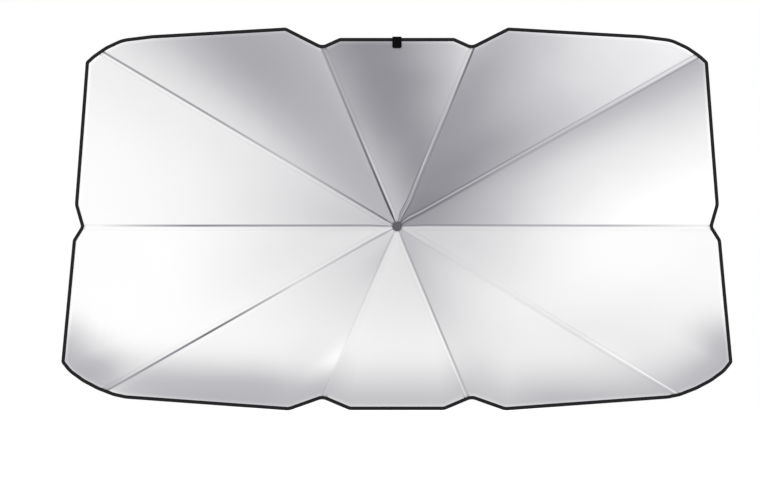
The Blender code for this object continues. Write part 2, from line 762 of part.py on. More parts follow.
def make_cap(material, collection):
    """The cap on the silver side: a low domed disc over the cloth's hole, on a stem in the shaft."""
    back = cloth_depth(CLOTH_HOLE_R) - CLOTH_T / 2 - GAP
    stem = FRONT_TUBE_R - TUBE_WALL - GAP
    front = back - CAP_T
    profile = [(0.0, front)]
    steps = 5
    for i in range(1, steps + 1):
        turn = math.pi / 2 * i / steps
        height = CAP_RIM + (CAP_T - CAP_RIM) * math.cos(turn)
        profile.append((CAP_R * math.sin(turn), back - height))
    profile += [(CAP_R, back), (stem, back), (stem, back + CAP_STEM_LEN), (0.0, back + CAP_STEM_LEN)]
    return turned("cap", profile, 28, material, collection)


def make_tube(name, radius, front, back, material, collection):
    bore = radius - TUBE_WALL
    profile = ((bore, front), (radius, front), (radius, back), (bore, back))
    return turned(name, profile, 24, material, collection)


def make_grip(material, collection):
    """The grip: a slim waisted handle with finger grooves, a blind bore for the rear tube and a flat end."""
    front = GRIP_FRONT
    back = front + GRIP_LEN
    bore = REAR_TUBE_R + GAP
    profile = [(bore, front), (GRIP_R - GRIP_EDGE, front), (GRIP_R, front + GRIP_EDGE)]
    groove_from = front + 0.18 * GRIP_LEN
    groove_to = front + 0.78 * GRIP_LEN
    pitch = (groove_to - groove_from) / GRIP_GROOVES
    for i in range(GRIP_GROOVES):
        start = groove_from + pitch * i
        profile.append((GRIP_WAIST_R, start))
        profile.append((GRIP_WAIST_R - GRIP_GROOVE_DEPTH, start + pitch * 0.25))
        profile.append((GRIP_WAIST_R - GRIP_GROOVE_DEPTH, start + pitch * 0.5))
        profile.append((GRIP_WAIST_R, start + pitch * 0.75))
    profile.append((GRIP_WAIST_R, groove_to))
    profile.append((GRIP_R, back - 4 * GRIP_EDGE))
    profile.append((GRIP_R, back - GRIP_EDGE))
    profile.append((GRIP_R - GRIP_EDGE, back))
    profile.append((0.0, back))
    profile.append((0.0, back - GRIP_END_WALL))
    profile.append((bore, back - GRIP_END_WALL))
    return turned("grip", profile, 24, material, collection)


def build():
    clear_scene()
    shade = new_collection("windscreen_sunshade")
    cutters = new_collection("cutters")
    silver = new_material("silver_cloth", (0.78, 0.78, 0.80), 0.42, 0.55)
    tape = new_material("black_tape", (0.012, 0.012, 0.014), 0.85, 0.0)
    webbing = new_material("black_webbing", (0.006, 0.006, 0.008), 0.9, 0.0)
    rib_finish = new_material("black_rib", (0.02, 0.02, 0.021), 0.38, 0.0)
    steel = new_material("zinc_steel", (0.55, 0.55, 0.56), 0.32, 1.0)
    tube_finish = new_material("black_tube", (0.025, 0.025, 0.027), 0.35, 0.6)
    plastic = new_material("black_plastic", (0.03, 0.03, 0.032), 0.45, 0.0)
    cap_finish = new_material("grey_cap", (0.105, 0.1, 0.117), 0.5, 0.0)
    grip_finish = new_material("black_grip", (0.022, 0.022, 0.024), 0.6, 0.0)

    loop = hem_loop()
    names = list(RIBS)
    meshes = {}
    stretcher_mesh = make_stretcher_mesh("stretcher", rib_finish, cutters, shade)
    tip_mesh = make_tip_mesh("rib_tip", plastic)
    ribs = {}
    for name, angle in RIBS.items():
        length = Vector(on_hem(loop, angle)).length
        key = round(length, 4)
        if key not in meshes:
            meshes[key] = make_rib_mesh("rib_" + name, length, rib_finish, cutters, shade)
        rib = new_object("rib_" + name, meshes[key], rib_finish, shade)
        rib.matrix_world = rib_place(angle, PIVOT_R, 0.0, 0.0)
        ribs[name] = rib
        reach = STRETCHER_LEN * math.cos(ROOT_SLOPE)
        sink = STRETCHER_LEN * math.sin(ROOT_SLOPE)
        stretcher = new_object("stretcher_" + name, stretcher_mesh, rib_finish, shade)
        stretcher.matrix_world = rib_place(angle, PIVOT_R + reach, sink, math.pi - ROOT_SLOPE)
        hold(stretcher, rib)
        path = rib_path(length)
        run = (path[-1] - path[-2]).normalized()
        base = path[-1] - run * TIP_BORE_DEPTH
        tip = new_object("rib_tip_" + name, tip_mesh, plastic, shade)
        tip.matrix_world = rib_place(angle, PIVOT_R + base.x, base.y, math.atan2(run.y, run.x))
        hold(tip, rib)

    for gore, rib_name in GORES.items():
        start = RIBS[rib_name]
        after = names[(names.index(rib_name) + 1) % len(names)]
        end = RIBS[after] if RIBS[after] > start else RIBS[after] + 2 * math.pi
        hold(make_gore("gore_" + gore, loop, start, end, silver, shade), ribs[rib_name])
        hold(make_binding("binding_" + gore, loop, start, end, tape, shade), ribs[rib_name])
        if gore == "top":
            hold(make_tab("closing_tab", loop, start, end, webbing, shade), ribs[rib_name])

    make_crown(plastic, shade, cutters)
    make_wire(steel, shade)
    make_cap(cap_finish, shade)
    make_runner(plastic, shade, cutters)
    make_button(plastic, shade)
    crown_top = cloth_depth(CROWN_R) + CLOTH_T / 2 + GAP
    grip_floor = GRIP_FRONT + GRIP_LEN - GRIP_END_WALL
    make_tube("front_tube", FRONT_TUBE_R, crown_top, grip_floor - 3 * TUBE_STEP, steel, shade)
    make_tube("middle_tube", MIDDLE_TUBE_R, TUBE_FRONT, grip_floor - 2 * TUBE_STEP, steel, shade)
    make_tube("rear_tube", REAR_TUBE_R, TUBE_FRONT + TUBE_STEP, grip_floor - TUBE_STEP, tube_finish, shade)
    make_grip(grip_finish, shade)


build()
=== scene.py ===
import math

import bpy
import bmesh
import numpy as np
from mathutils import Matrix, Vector


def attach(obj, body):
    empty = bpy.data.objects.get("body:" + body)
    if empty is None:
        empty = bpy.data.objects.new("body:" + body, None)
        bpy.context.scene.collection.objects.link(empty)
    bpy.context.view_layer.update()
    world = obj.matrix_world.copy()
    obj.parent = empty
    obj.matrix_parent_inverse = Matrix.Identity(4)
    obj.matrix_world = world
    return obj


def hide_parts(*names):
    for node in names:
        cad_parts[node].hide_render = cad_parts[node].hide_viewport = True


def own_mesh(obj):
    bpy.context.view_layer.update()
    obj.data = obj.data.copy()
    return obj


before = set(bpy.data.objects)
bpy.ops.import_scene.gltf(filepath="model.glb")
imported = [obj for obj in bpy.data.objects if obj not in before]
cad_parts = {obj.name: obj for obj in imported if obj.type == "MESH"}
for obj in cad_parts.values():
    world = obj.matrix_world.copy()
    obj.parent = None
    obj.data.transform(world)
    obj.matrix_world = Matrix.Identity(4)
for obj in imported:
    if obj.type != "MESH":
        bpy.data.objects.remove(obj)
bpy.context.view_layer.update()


# The grip is moulded in black thermoplastic rubber over a hard core and pushed onto the rear tube.
# Its surface has the fine stipple of a spark-eroded mould, worn a little smoother in places.

MM = 0.001
GRIP_BLACK = "#1B1B1D"
STIPPLE = 0.9 * MM  # the real stipple is 0.3 mm, too fine to show
WEAR_PER_M = 70.0  # worn patches, 14 mm across


def linear(colour):
    """An sRGB hex colour as linear RGBA."""
    parts = [int(colour[i : i + 2], 16) / 255 for i in (1, 3, 5)]
    return (*(c / 12.92 if c <= 0.04045 else ((c + 0.055) / 1.055) ** 2.4 for c in parts), 1.0)


def add(tree, kind, sockets=None, **settings):
    """Adds one node with its settings. Each socket is given a value, or another node's output to link."""
    made = tree.nodes.new(kind)
    for name, value in settings.items():
        setattr(made, name, value)
    for name, value in (sockets or {}).items():
        socket = made.inputs[name]
        if isinstance(value, bpy.types.NodeSocket):
            tree.links.new(value, socket)
        else:
            socket.default_value = value
    return made


def new_finish(name, **values):
    """A material with a Principled shader whose even values are set on its own sockets."""
    made = bpy.data.materials.new(name)
    made.use_nodes = True
    shader = made.node_tree.nodes["Principled BSDF"]
    for socket, value in values.items():
        shader.inputs[socket.replace("_", " ")].default_value = value
    return made, made.node_tree, shader


def feed(node, **sources):
    """Links other nodes' first outputs to a node's sockets."""
    for socket, source in sources.items():
        node.id_data.links.new(source.outputs[0], node.inputs[socket.replace("_", " ")])


def set_stops(ramp, colours):
    """Sets a colour ramp's stops from (position, colour) pairs."""
    stops = ramp.color_ramp.elements
    for position, colour in colours[2:]:
        stops.new(position)
    for stop, (position, colour) in zip(stops, colours):
        stop.position = position
    for stop, (position, colour) in zip(stops, colours):
        stop.color = linear(colour)


def dress(nodes, finish):
    """Gives CAD nodes their finish."""
    for name in nodes:
        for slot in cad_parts[name].material_slots:
            slot.material = finish


# Thermoplastic rubber: a dull black that takes a soft, wide highlight.
grip_rubber, tree, shader = new_finish("overmoulded_rubber", Specular_IOR_Level=0.35)
place = add(tree, "ShaderNodeTexCoord").outputs["Object"]
stipple = add(tree, "ShaderNodeTexNoise", {"Vector": place, "Scale": 1 / STIPPLE, "Detail": 2.0})
wear = add(tree, "ShaderNodeTexNoise", {"Vector": place, "Scale": WEAR_PER_M, "Detail": 3.0})
tint = add(tree, "ShaderNodeValToRGB", {"Fac": wear.outputs["Fac"]})
set_stops(tint, ((0.35, GRIP_BLACK), (0.75, "#262629")))
rough = add(tree, "ShaderNodeMapRange", {"Value": wear.outputs["Fac"], "To Min": 0.72, "To Max": 0.52})
bump = add(tree, "ShaderNodeBump", {"Height": stipple.outputs["Fac"], "Strength": 0.5, "Distance": 0.12 * MM})
feed(shader, Base_Color=tint, Roughness=rough, Normal=bump)
dress(["grip"], grip_rubber)


# The shaft is three thin steel tubes that slide in each other, the widest one fixed in the grip.
# The rear tube is stove-lacquered black, and the two inner ones are bright zinc-plated, drawn lengthwise.

LACQUER = "#17171A"
DRAW_LINE = 0.5 * MM  # spacing of the lengthwise draw lines
DRAW_LINES_PER_M = 6.0  # breaks along a draw line, 170 mm apart
ZINC_CLOUDS_PER_M = 45.0  # 22 mm across
PEEL_PER_M = 900.0  # 1.1 mm across

# Zinc plate: a clear grey metal with lengthwise draw lines and faint cloudiness.
zinc_plate, tree, shader = new_finish("zinc_plate", Metallic=1.0)
place = add(tree, "ShaderNodeTexCoord").outputs["Object"]
drawn = (1 / DRAW_LINE, DRAW_LINES_PER_M, 1 / DRAW_LINE)
along = add(tree, "ShaderNodeMapping", {"Vector": place, "Scale": drawn})
lines = add(tree, "ShaderNodeTexNoise", {"Vector": along.outputs["Vector"], "Scale": 1.0, "Detail": 3.0})
cloud = add(tree, "ShaderNodeTexNoise", {"Vector": place, "Scale": ZINC_CLOUDS_PER_M, "Detail": 4.0})
tint = add(tree, "ShaderNodeValToRGB", {"Fac": cloud.outputs["Fac"]})
set_stops(tint, ((0.0, "#A3A5AB"), (1.0, "#CBCDD1")))
rough = add(tree, "ShaderNodeMapRange", {"Value": lines.outputs["Fac"], "To Min": 0.2, "To Max": 0.42})
bump = add(tree, "ShaderNodeBump", {"Height": lines.outputs["Fac"], "Strength": 0.15, "Distance": 0.05 * MM})
feed(shader, Base_Color=tint, Roughness=rough, Normal=bump)
dress(["front_tube", "middle_tube", "crown_wire"], zinc_plate)

# Stove lacquer on steel: a smooth black with a thin gloss and a slight orange peel.
stove_lacquer, tree, shader = new_finish("stove_lacquer", Coat_Weight=0.35, Coat_Roughness=0.12)
place = add(tree, "ShaderNodeTexCoord").outputs["Object"]
peel = add(tree, "ShaderNodeTexNoise", {"Vector": place, "Scale": PEEL_PER_M, "Detail": 2.0})
tint = add(tree, "ShaderNodeValToRGB", {"Fac": peel.outputs["Fac"]})
set_stops(tint, ((0.0, LACQUER), (1.0, "#222226")))
rough = add(tree, "ShaderNodeMapRange", {"Value": peel.outputs["Fac"], "To Min": 0.28, "To Max": 0.4})
bump = add(tree, "ShaderNodeBump", {"Height": peel.outputs["Fac"], "Strength": 0.2, "Distance": 0.05 * MM})
feed(shader, Base_Color=tint, Roughness=rough, Normal=bump)
dress(["rear_tube"], stove_lacquer)


# The crown, the runner, its button and the rib tips are injection-moulded black ABS.
# The crown and runner are slotted for the ribs and stretchers, and the tips are pressed onto the rods.

ABS_BLACK = "#1D1D20"
MOULD_GRAIN = 0.8 * MM  # the real mould grain is 0.2 mm, too fine to show
FLOW_PER_M = 120.0  # flow marks of the melt, 8 mm across

# Moulded ABS: a half-matt black with a fine even grain.
moulded_abs, tree, shader = new_finish("moulded_abs", Specular_IOR_Level=0.5)
place = add(tree, "ShaderNodeTexCoord").outputs["Object"]
grain = add(tree, "ShaderNodeTexNoise", {"Vector": place, "Scale": 1 / MOULD_GRAIN, "Detail": 3.0})
flow = add(tree, "ShaderNodeTexNoise", {"Vector": place, "Scale": FLOW_PER_M, "Detail": 2.0})
tint = add(tree, "ShaderNodeValToRGB", {"Fac": flow.outputs["Fac"]})
set_stops(tint, ((0.0, ABS_BLACK), (1.0, "#29292C")))
rough = add(tree, "ShaderNodeMapRange", {"Value": grain.outputs["Fac"], "To Min": 0.38, "To Max": 0.55})
bump = add(tree, "ShaderNodeBump", {"Height": grain.outputs["Fac"], "Strength": 0.3, "Distance": 0.06 * MM})
feed(shader, Base_Color=tint, Roughness=rough, Normal=bump)

# The ribs in turn from the right-hand one, with their angles above the +X axis in degrees.
RIBS = {
    "right": 0.0,
    "upper_right": 30.4,
    "top_right": 67.3,
    "top_left": 112.7,
    "upper_left": 149.6,
    "left": 180.0,
    "lower_left": 210.7,
    "bottom_left": 246.7,
    "bottom_right": 293.3,
    "lower_right": 329.3,
}
dress(["crown", "runner", "runner_button"] + ["rib_tip_" + rib for rib in RIBS], moulded_abs)


# The ribs and stretchers are pultruded glass-fibre rods, dyed black and lightly polished.
# Each rib turns on the crown's wire, and its stretcher joins it to the runner.

FIBRE = 0.6 * MM  # width of one fibre streak; the real ones are 0.1 mm, too fine to show
DYE_PER_M = 35.0  # uneven patches of the dye, 29 mm across

# Pultruded glass fibre: black resin with lengthwise streaks and a satin shine.
glass_fibre, tree, shader = new_finish("pultruded_glass_fibre", Coat_Weight=0.2, Coat_Roughness=0.25)
place = add(tree, "ShaderNodeTexCoord").outputs["Object"]
streak = add(tree, "ShaderNodeTexNoise", {"Vector": place, "Scale": 1 / FIBRE, "Detail": 2.0})
shade = add(tree, "ShaderNodeTexNoise", {"Vector": place, "Scale": DYE_PER_M, "Detail": 3.0})
tint = add(tree, "ShaderNodeValToRGB", {"Fac": shade.outputs["Fac"]})
set_stops(tint, ((0.0, "#141416"), (1.0, "#242427")))
rough = add(tree, "ShaderNodeMapRange", {"Value": streak.outputs["Fac"], "To Min": 0.25, "To Max": 0.45})
bump = add(tree, "ShaderNodeBump", {"Height": streak.outputs["Fac"], "Strength": 0.2, "Distance": 0.05 * MM})
feed(shader, Base_Color=tint, Roughness=rough, Normal=bump)
dress(["rib_" + rib for rib in RIBS] + ["stretcher_" + rib for rib in RIBS], glass_fibre)


# The canopy is ten gores of woven polyester, silver-coated in front and black-coated behind.
# They are sewn together along the ribs, so the cloth is one sheet, pulled tight over a shallow dome.

# The coat's colours, from its darkest painted shade to where it is fully bright: the coat's light and shade
# are painted into its colour through this ramp.
PAINTED_TONE_COLOURS = (
    (0.30, "#38373D"),
    (0.42, "#5F5E64"),
    (0.57, "#8A898F"),
    (0.77, "#BFBEC2"),
    (0.905, "#E4E4E5"),
    (0.985, "#FBFBFB"),
)
LINING = "#18181B"
CLOTH_T = 0.5 * MM
CLOTH_HOLE_R = 6.0 * MM  # the hole at the hub, which the cap covers
SEAM_START = 60.0 * MM  # each seam leaves its rib over this length from the hub
WAVE = 0.314  # length of one wave of a wave texture whose scale is 1
THREAD = 3.454 * MM  # thread spacing as drawn; the real one is 0.14 mm, too fine to show
WEAVE_DEPTH = 0.1 * MM
CREASES_PER_M = 9.0  # soft creases of the stretched cloth, 110 mm across
CREASE_H = 6.0 * MM
SAG = 0.012  # how far a gore sags between its ribs, as a share of its width there

# The hem's middle line on the right half: x, z and the radius that rounds the corner.
# A scratch script fitted the corners' places to the photo's outline. They weren't chosen by hand.
HEM_CORNERS = (
    (0.0000, 0.4032, 0.000),
    (0.1226, 0.4032, 0.010),
    (0.1614, 0.3855, 0.022),
    (0.2405, 0.4260, 0.010),
    (0.5292, 0.4108, 0.050),
    (0.5939, 0.4031, 0.080),
    (0.6287, 0.3869, 0.080),
    (0.6561, 0.3680, 0.080),
    (0.6702, 0.3553, 0.006),
    (0.6931, 0.0474, 0.030),
    (0.6790, -0.0004, 0.012),
    (0.6977, -0.0300, 0.014),
    (0.7235, -0.2932, 0.007),
    (0.7077, -0.3127, 0.060),
    (0.6795, -0.3329, 0.080),
    (0.6476, -0.3495, 0.080),
    (0.6124, -0.3630, 0.080),
    (0.5864, -0.3685, 0.080),
    (0.2333, -0.3930, 0.025),
    (0.1603, -0.3668, 0.025),
    (0.1017, -0.3919, 0.020),
    (0.0000, -0.3919, 0.000),
)
HEM_STEP = 4.0 * MM
SAME_WAY = 1e-4  # directions nearer to each other than this, in radians, are one

# The dome, as the ribs bend it.
PIVOT_Y = -343.1456 * MM
PIVOT_R = 11.0 * MM
ROOT_SLOPE = math.tan(math.radians(8.0))
TIP_SLOPE = math.tan(math.radians(11.0))
TIP_SLOPE_AT = 0.74  # metres from the hub
BEND = (TIP_SLOPE - ROOT_SLOPE) / (2 * TIP_SLOPE_AT)
CLOTH_LIFT = 7.1 * MM  # from the ribs' hinge line to the middle of the cloth
CLOTH_FORWARD = 0.1 * MM  # keeps the cloth clear of the rods behind it

# Each gore reaches anticlockwise from the rib that carries it.
GORES = {
    "right_upper": "right",
    "top_right": "upper_right",
    "top": "top_right",
    "top_left": "top_left",
    "left_upper": "upper_left",
    "left_lower": "left",
    "bottom_left": "lower_left",
    "bottom": "bottom_left",
    "bottom_right": "bottom_right",
    "right_lower": "lower_right",
}

# The coat's light and shade, painted into its colour: a painted shade ring round the hub, a painted
# shade band along the lower hem, and soft painted patches in single gores, as (depth, across the gore,
# width, out from the hub, length). Across, 1 is the gore's width, and outwards, 1 is the way to the hem. A
# negative depth is a painted highlight.
# A scratch script fitted all of these to the photo's tones, so a row isn't a real crease or reflection.
BRIGHT = 0.985
HUB_SHADE = 0.142
HUB_SHADE_R = 0.263
HEM_SHADE = 0.245
HEM_SHADE_W = 0.0756
HEM_SHADE_BELOW = -0.2165
HEM_SHADE_FADE = 0.0189
PAINTED_LIGHT_AND_SHADE = {
    "right_upper": (
        (0.596, 1.55, 0.65, 0.97, 0.68),
        (0.252, 0.24, 1.71, -0.01, 0.46),
        (0.016, 0.42, 0.20, 0.79, 0.27),
    ),
    "top_right": (
        (0.442, -0.29, 2.20, -0.50, 1.19),
        (0.239, 0.95, 0.50, 0.82, 0.55),
        (0.075, 0.33, 0.33, 0.44, 0.21),
    ),
    "top": (
        (0.431, 0.70, 0.65, 1.17, 0.87),
        (0.213, 0.02, 0.49, 0.36, 0.29),
        (0.047, 0.51, 0.56, 0.59, 0.16),
        (0.054, 0.28, 0.38, 0.78, 0.12),
    ),
    "top_left": (
        (0.219, 0.12, 0.34, 1.00, 1.03),
        (0.121, 0.79, 0.53, 0.10, 0.86),
        (0.224, 0.56, 0.31, 0.96, 0.54),
    ),
    "left_upper": (
        (0.059, 0.71, 0.71, 0.21, 0.53),
        (0.061, -0.03, 0.43, 0.95, 0.82),
    ),
    "left_lower": (
        (-0.600, 0.48, 0.52, 0.36, 0.37),
        (0.619, 0.48, 0.52, 0.37, 0.35),
        (0.668, 0.84, 0.17, 0.92, 0.07),
        (-0.600, 0.84, 0.19, 0.92, 0.07),
    ),
    "bottom_left": (
        (0.072, 0.82, 0.92, 0.86, 0.08),
        (0.052, 1.14, 0.59, 0.19, 0.13),
        (-0.139, 0.95, 0.26, 0.82, 0.12),
        (-0.521, -0.34, 0.28, 1.01, 0.07),
    ),
    "bottom": (
        (-0.193, 1.03, 2.20, 1.50, 0.47),
        (-0.081, -0.59, 2.20, -0.50, 1.08),
    ),
    "bottom_right": (
        (0.900, 1.06, 1.62, 1.04, 0.99),
        (-0.600, 1.07, 1.23, 0.51, 0.50),
        (-0.593, 0.23, 0.78, 1.07, 0.42),
        (-0.479, 1.06, 0.47, 1.05, 0.32),
    ),
    "right_lower": (
        (-0.600, 0.20, 1.08, 0.65, 0.38),
        (0.521, 0.25, 1.14, 0.63, 0.42),
        (0.437, -0.29, 0.68, 0.76, 0.25),
        (-0.600, -0.47, 0.55, 0.81, 0.22),
    ),
}

# Each seam has a dark line with a bright fold beside it, both painted: the line is a painted shade, and the
# fold, which really stands a little proud, gets a painted highlight. For each rib: how far the line is from
# the rib at the hub and at the hem, in mm anticlockwise, and the side on which the fold lies. Then, at four
# places from the hub to the hem, how much darker the line is painted than the coat round it, how much
# brighter the fold is painted (darker, where there is a minus), and how much darker the fold's far edge is
# painted, as painted shade.
# These too come from a script's fit to the photo.
SEAM_PLACES = (0.05, 0.35, 0.65, 0.95)
SEAMS = {
    "right": (2.2, 2.2, -1, (0.11, 0.19, 0.27, 0.08), (0.01, 0, 0, 0.01), (0, 0, 0, 0)),
    "upper_right": (-2.6, -14.6, 1, (0.06, 0.03, 0.07, 0.09), (0.18, 0.1, 0, 0), (0.03, 0.06, 0.11, 0.12)),
    "top_right": (-6.9, -4.5, 1, (0.12, 0.02, 0.07, 0.29), (-0.18, 0.18, 0, 0), (0.19, 0.01, 0, 0)),
    "top_left": (0.7, 2.0, -1, (0.44, 0.26, 0.13, 0.07), (0.04, 0.07, 0.01, 0.03), (0.06, 0.02, 0.03, 0.01)),
    "upper_left": (0.0, -4.8, 1, (0.25, 0.09, 0.27, 0.28), (0, 0.03, 0.03, 0.03), (0.02, 0, 0, 0.01)),
    "left": (-2.2, -2.2, 1, (0.19, 0.25, 0.39, 0.02), (0, 0, 0, 0.01), (0, 0, 0, 0)),
    "lower_left": (-1.4, -15.0, -1, (0.14, 0.06, 0.52, 0.16), (0.02, 0.02, 0, 0), (0, 0, 0, 0.02)),
    "bottom_left": (-1.3, -2.9, 1, (0.08, 0.04, 0.02, 0), (0, 0, 0, 0.01), (0.01, 0, 0, 0)),
    "bottom_right": (-0.5, -3.1, -1, (0.12, 0.13, 0.21, 0.05), (0.02, 0.03, 0.03, 0.08), (0, 0, 0, 0)),
    "lower_right": (1.0, -6.4, 1, (0, 0, 0.04, 0), (0, 0, 0, 0.17), (0.05, 0, 0.06, 0)),
}


def rounded(before, corner, after, radius):
    """The arc that rounds a corner of the hem, as points about one step apart."""
    here = Vector(corner)
    back = (Vector(before) - here).normalized()
    on = (Vector(after) - here).normalized()
    turn = math.pi - back.angle(on)
    if radius <= 0 or turn < SAME_WAY:
        return [here]
    reach = radius * math.tan(turn / 2)
    start = here + back * reach
    end = here + on * reach
    centre = here + (back + on).normalized() * math.hypot(radius, reach)
    first = (start - centre).normalized()
    last = (end - centre).normalized()
    steps = max(3, math.ceil(radius * turn / (HEM_STEP / 2)))
    return [centre + first.slerp(last, i / steps) * radius for i in range(steps + 1)]


half = [Vector(HEM_CORNERS[0][:2])]
for before, corner, after in zip(HEM_CORNERS, HEM_CORNERS[1:], HEM_CORNERS[2:]):
    half += rounded(before[:2], corner[:2], after[:2], corner[2])
half.append(Vector(HEM_CORNERS[-1][:2]))
hem_loop = half[::-1] + [Vector((-p.x, p.y)) for p in half[1:-1]]


def ray_hits_hem(angle):
    """Where the ray from the hub at this angle meets the hem."""
    way = Vector((math.cos(angle), math.sin(angle)))
    side = Vector((-way.y, way.x))
    for p, q in zip(hem_loop, hem_loop[1:] + hem_loop[:1]):
        before, past = p.dot(side), q.dot(side)
        if before <= 0 < past and p.dot(way) > 0:
            return p.lerp(q, before / (before - past))


def hem_run(start, end, also=()):
    """The hem between two directions, in even short steps that keep its corners and what is named."""
    whole = 2 * math.pi

    def turned(angle):
        """How far a direction is past the start, or nothing where it is outside the run."""
        past = (angle - start) % whole
        return past if SAME_WAY < past < end - start - SAME_WAY else None

    points = hem_loop + [ray_hits_hem(angle % whole) for angle in also if turned(angle)]
    places = [(turned(math.atan2(p.y, p.x)), tuple(p)) for p in points]
    inside = sorted(place for place in places if place[0])
    corners = [ray_hits_hem(start % whole)] + [Vector(p) for _, p in inside] + [ray_hits_hem(end % whole)]
    run = [corners[0]]
    for p, q in zip(corners, corners[1:]):
        steps = max(1, round((q - p).length / HEM_STEP))
        run += [p.lerp(q, i / steps) for i in range(1, steps + 1)]
    return run


def outward(run):
    """Outward mitres along a run of hem; at its two ends they lie along the ray from the hub."""
    sides = []
    for p, q in zip(run, run[1:]):
        step = (q - p).normalized()
        sides.append(Vector((step.y, -step.x)))
    mitres = []
    for i, here in enumerate(run):
        if 0 < i < len(run) - 1:
            both = sides[i - 1] + sides[i]
            mitres.append(both / both.dot(sides[i]))
            continue
        side = sides[0] if i == 0 else sides[-1]
        along = here.normalized()
        mitres.append(along / along.dot(side))
    return mitres


def dome(distance):
    """Depth of the cloth's middle over a rib, from the hinge ring, at distances from the shaft's axis."""
    past = distance - PIVOT_R
    slope = ROOT_SLOPE + 2 * BEND * past
    return ROOT_SLOPE * past + BEND * past * past - CLOTH_LIFT * np.hypot(1.0, slope)


RAYS = np.radians(list(RIBS.values()) + [360.0])
HEM = np.array([tuple(p) for p in hem_loop])
HEM_NEXT = np.roll(HEM, -1, axis=0)


def angles_of(spots):
    """The directions of points of the cloth from the hub."""
    return np.arctan2(spots[..., 1], spots[..., 0]) % (2 * math.pi)


def depth_of(spots):
    """Depth of the cloth: flat across from rib to rib, and then a little lower in the middle."""
    angles = angles_of(spots)
    place = np.searchsorted(RAYS, angles, side="right").clip(1, len(RIBS)) - 1
    start, end = RAYS[place], RAYS[place + 1]
    middle, spread = (start + end) / 2, (end - start) / 2
    along = (spots[..., 0] * np.cos(middle) + spots[..., 1] * np.sin(middle)) / np.cos(spread)
    across = (angles - start) / (end - start)
    return dome(along) + SAG * 2 * along * np.sin(spread) * 4 * across * (1 - across)


def hem_reach(angles):
    """How far the hem is from the hub in these directions."""
    ways = np.stack([np.cos(angles), np.sin(angles)], axis=-1)[..., None, :]
    before = ways[..., 0] * HEM[:, 1] - ways[..., 1] * HEM[:, 0]
    past = ways[..., 0] * HEM_NEXT[:, 1] - ways[..., 1] * HEM_NEXT[:, 0]
    crossed = (before <= 0) & (past > 0)
    share = before / np.where(crossed, before - past, 1.0)
    hits = ((HEM + (HEM_NEXT - HEM) * share[..., None]) * ways).sum(axis=-1)
    return np.where(crossed, hits, 0.0).max(axis=-1)


def hem_gap(spots):
    """How far points of the cloth are from the hem's middle line."""
    way = HEM_NEXT - HEM
    away = spots[..., None, :] - HEM
    share = ((away * way).sum(axis=-1) / (way * way).sum(axis=-1)).clip(0.0, 1.0)
    return np.linalg.norm(away - way * share[..., None], axis=-1).min(axis=-1)


def seam_aside(rib, distance):
    """How far the seam's dark line is anticlockwise from its rib."""
    hub, hem = SEAMS[rib][:2]
    full = hem_reach(math.radians(RIBS[rib]))
    return (hub + (hem - hub) * distance / full) * MM * np.minimum(1.0, distance / SEAM_START)


def seam_angle(rib, distance):
    """The direction in which the seam is, at a distance from the hub."""
    return math.radians(RIBS[rib]) + np.arcsin(seam_aside(rib, distance) / distance)


def gore_ribs(gore):
    """The ribs at a gore's two sides, the one that carries it first."""
    names = list(RIBS)
    near = GORES[gore]
    return near, names[(names.index(near) + 1) % len(names)]


def gore_rays(gore):
    """The directions of the gore's two ribs."""
    start, end = (math.radians(RIBS[rib]) for rib in gore_ribs(gore))
    return start, end if end > start else end + 2 * math.pi


def gore_sides(gore, distance):
    """The directions of a gore's two seams at a distance from the hub."""
    near, far = gore_ribs(gore)
    start, end = seam_angle(near, distance), seam_angle(far, distance)
    return start, np.where(end > start, end, end + 2 * math.pi)


def painted_tone_of(gore, spots):
    """The coat's painted tone: a painted shade ring round the hub, a painted shade band along the hem, and
    the gore's own painted patches of light and shade.
    """
    distance = np.linalg.norm(spots, axis=-1)
    angles = angles_of(spots)
    start, end = gore_sides(gore, distance)
    turn = (angles - start + math.pi / 2) % (2 * math.pi) - math.pi / 2
    across = (turn / (end - start)).clip(0.0, 1.0)
    out = distance / hem_reach(angles)
    shade = BRIGHT - HUB_SHADE * np.exp(-((distance / HUB_SHADE_R) ** 2))
    low = 1 / (1 + np.exp((spots[..., 1] - HEM_SHADE_BELOW) / HEM_SHADE_FADE))
    shade -= HEM_SHADE * np.exp(-((hem_gap(spots) / HEM_SHADE_W) ** 2)) * low
    for depth, at, width, reach, length in PAINTED_LIGHT_AND_SHADE[gore]:
        shade -= depth * np.exp(-(((across - at) / width) ** 2) - ((out - reach) / length) ** 2)
    return shade


def cloth_points(spots, lift):
    """Points of the picture plane laid on the cloth, and lifted off its middle to the front."""
    return np.stack([spots[..., 0], PIVOT_Y + depth_of(spots) - CLOTH_FORWARD - lift, spots[..., 1]], axis=-1)


def grid_mesh(name, points, finishes):
    """An object with a mesh of rows and columns of points, linked to the scene."""
    rows, wide = points.shape[:2]
    faces = [
        (r * wide + c, (r + 1) * wide + c, (r + 1) * wide + c + 1, r * wide + c + 1)
        for r in range(rows - 1)
        for c in range(wide - 1)
    ]
    mesh = bpy.data.meshes.new(name)
    mesh.from_pydata(points.reshape(-1, 3).tolist(), [], faces)
    for finish in finishes:
        mesh.materials.append(finish)
    mesh.shade_smooth()
    made = bpy.data.objects.new(name, mesh)
    bpy.context.scene.collection.objects.link(made)
    return made


def plain_mesh(thing):
    """The object's evaluated mesh put in the place of its own, with its modifiers removed."""
    graph = bpy.context.evaluated_depsgraph_get()
    mesh = bpy.data.meshes.new_from_object(thing.evaluated_get(graph), depsgraph=graph)
    thing.modifiers.clear()
    thing.data = mesh
    return thing
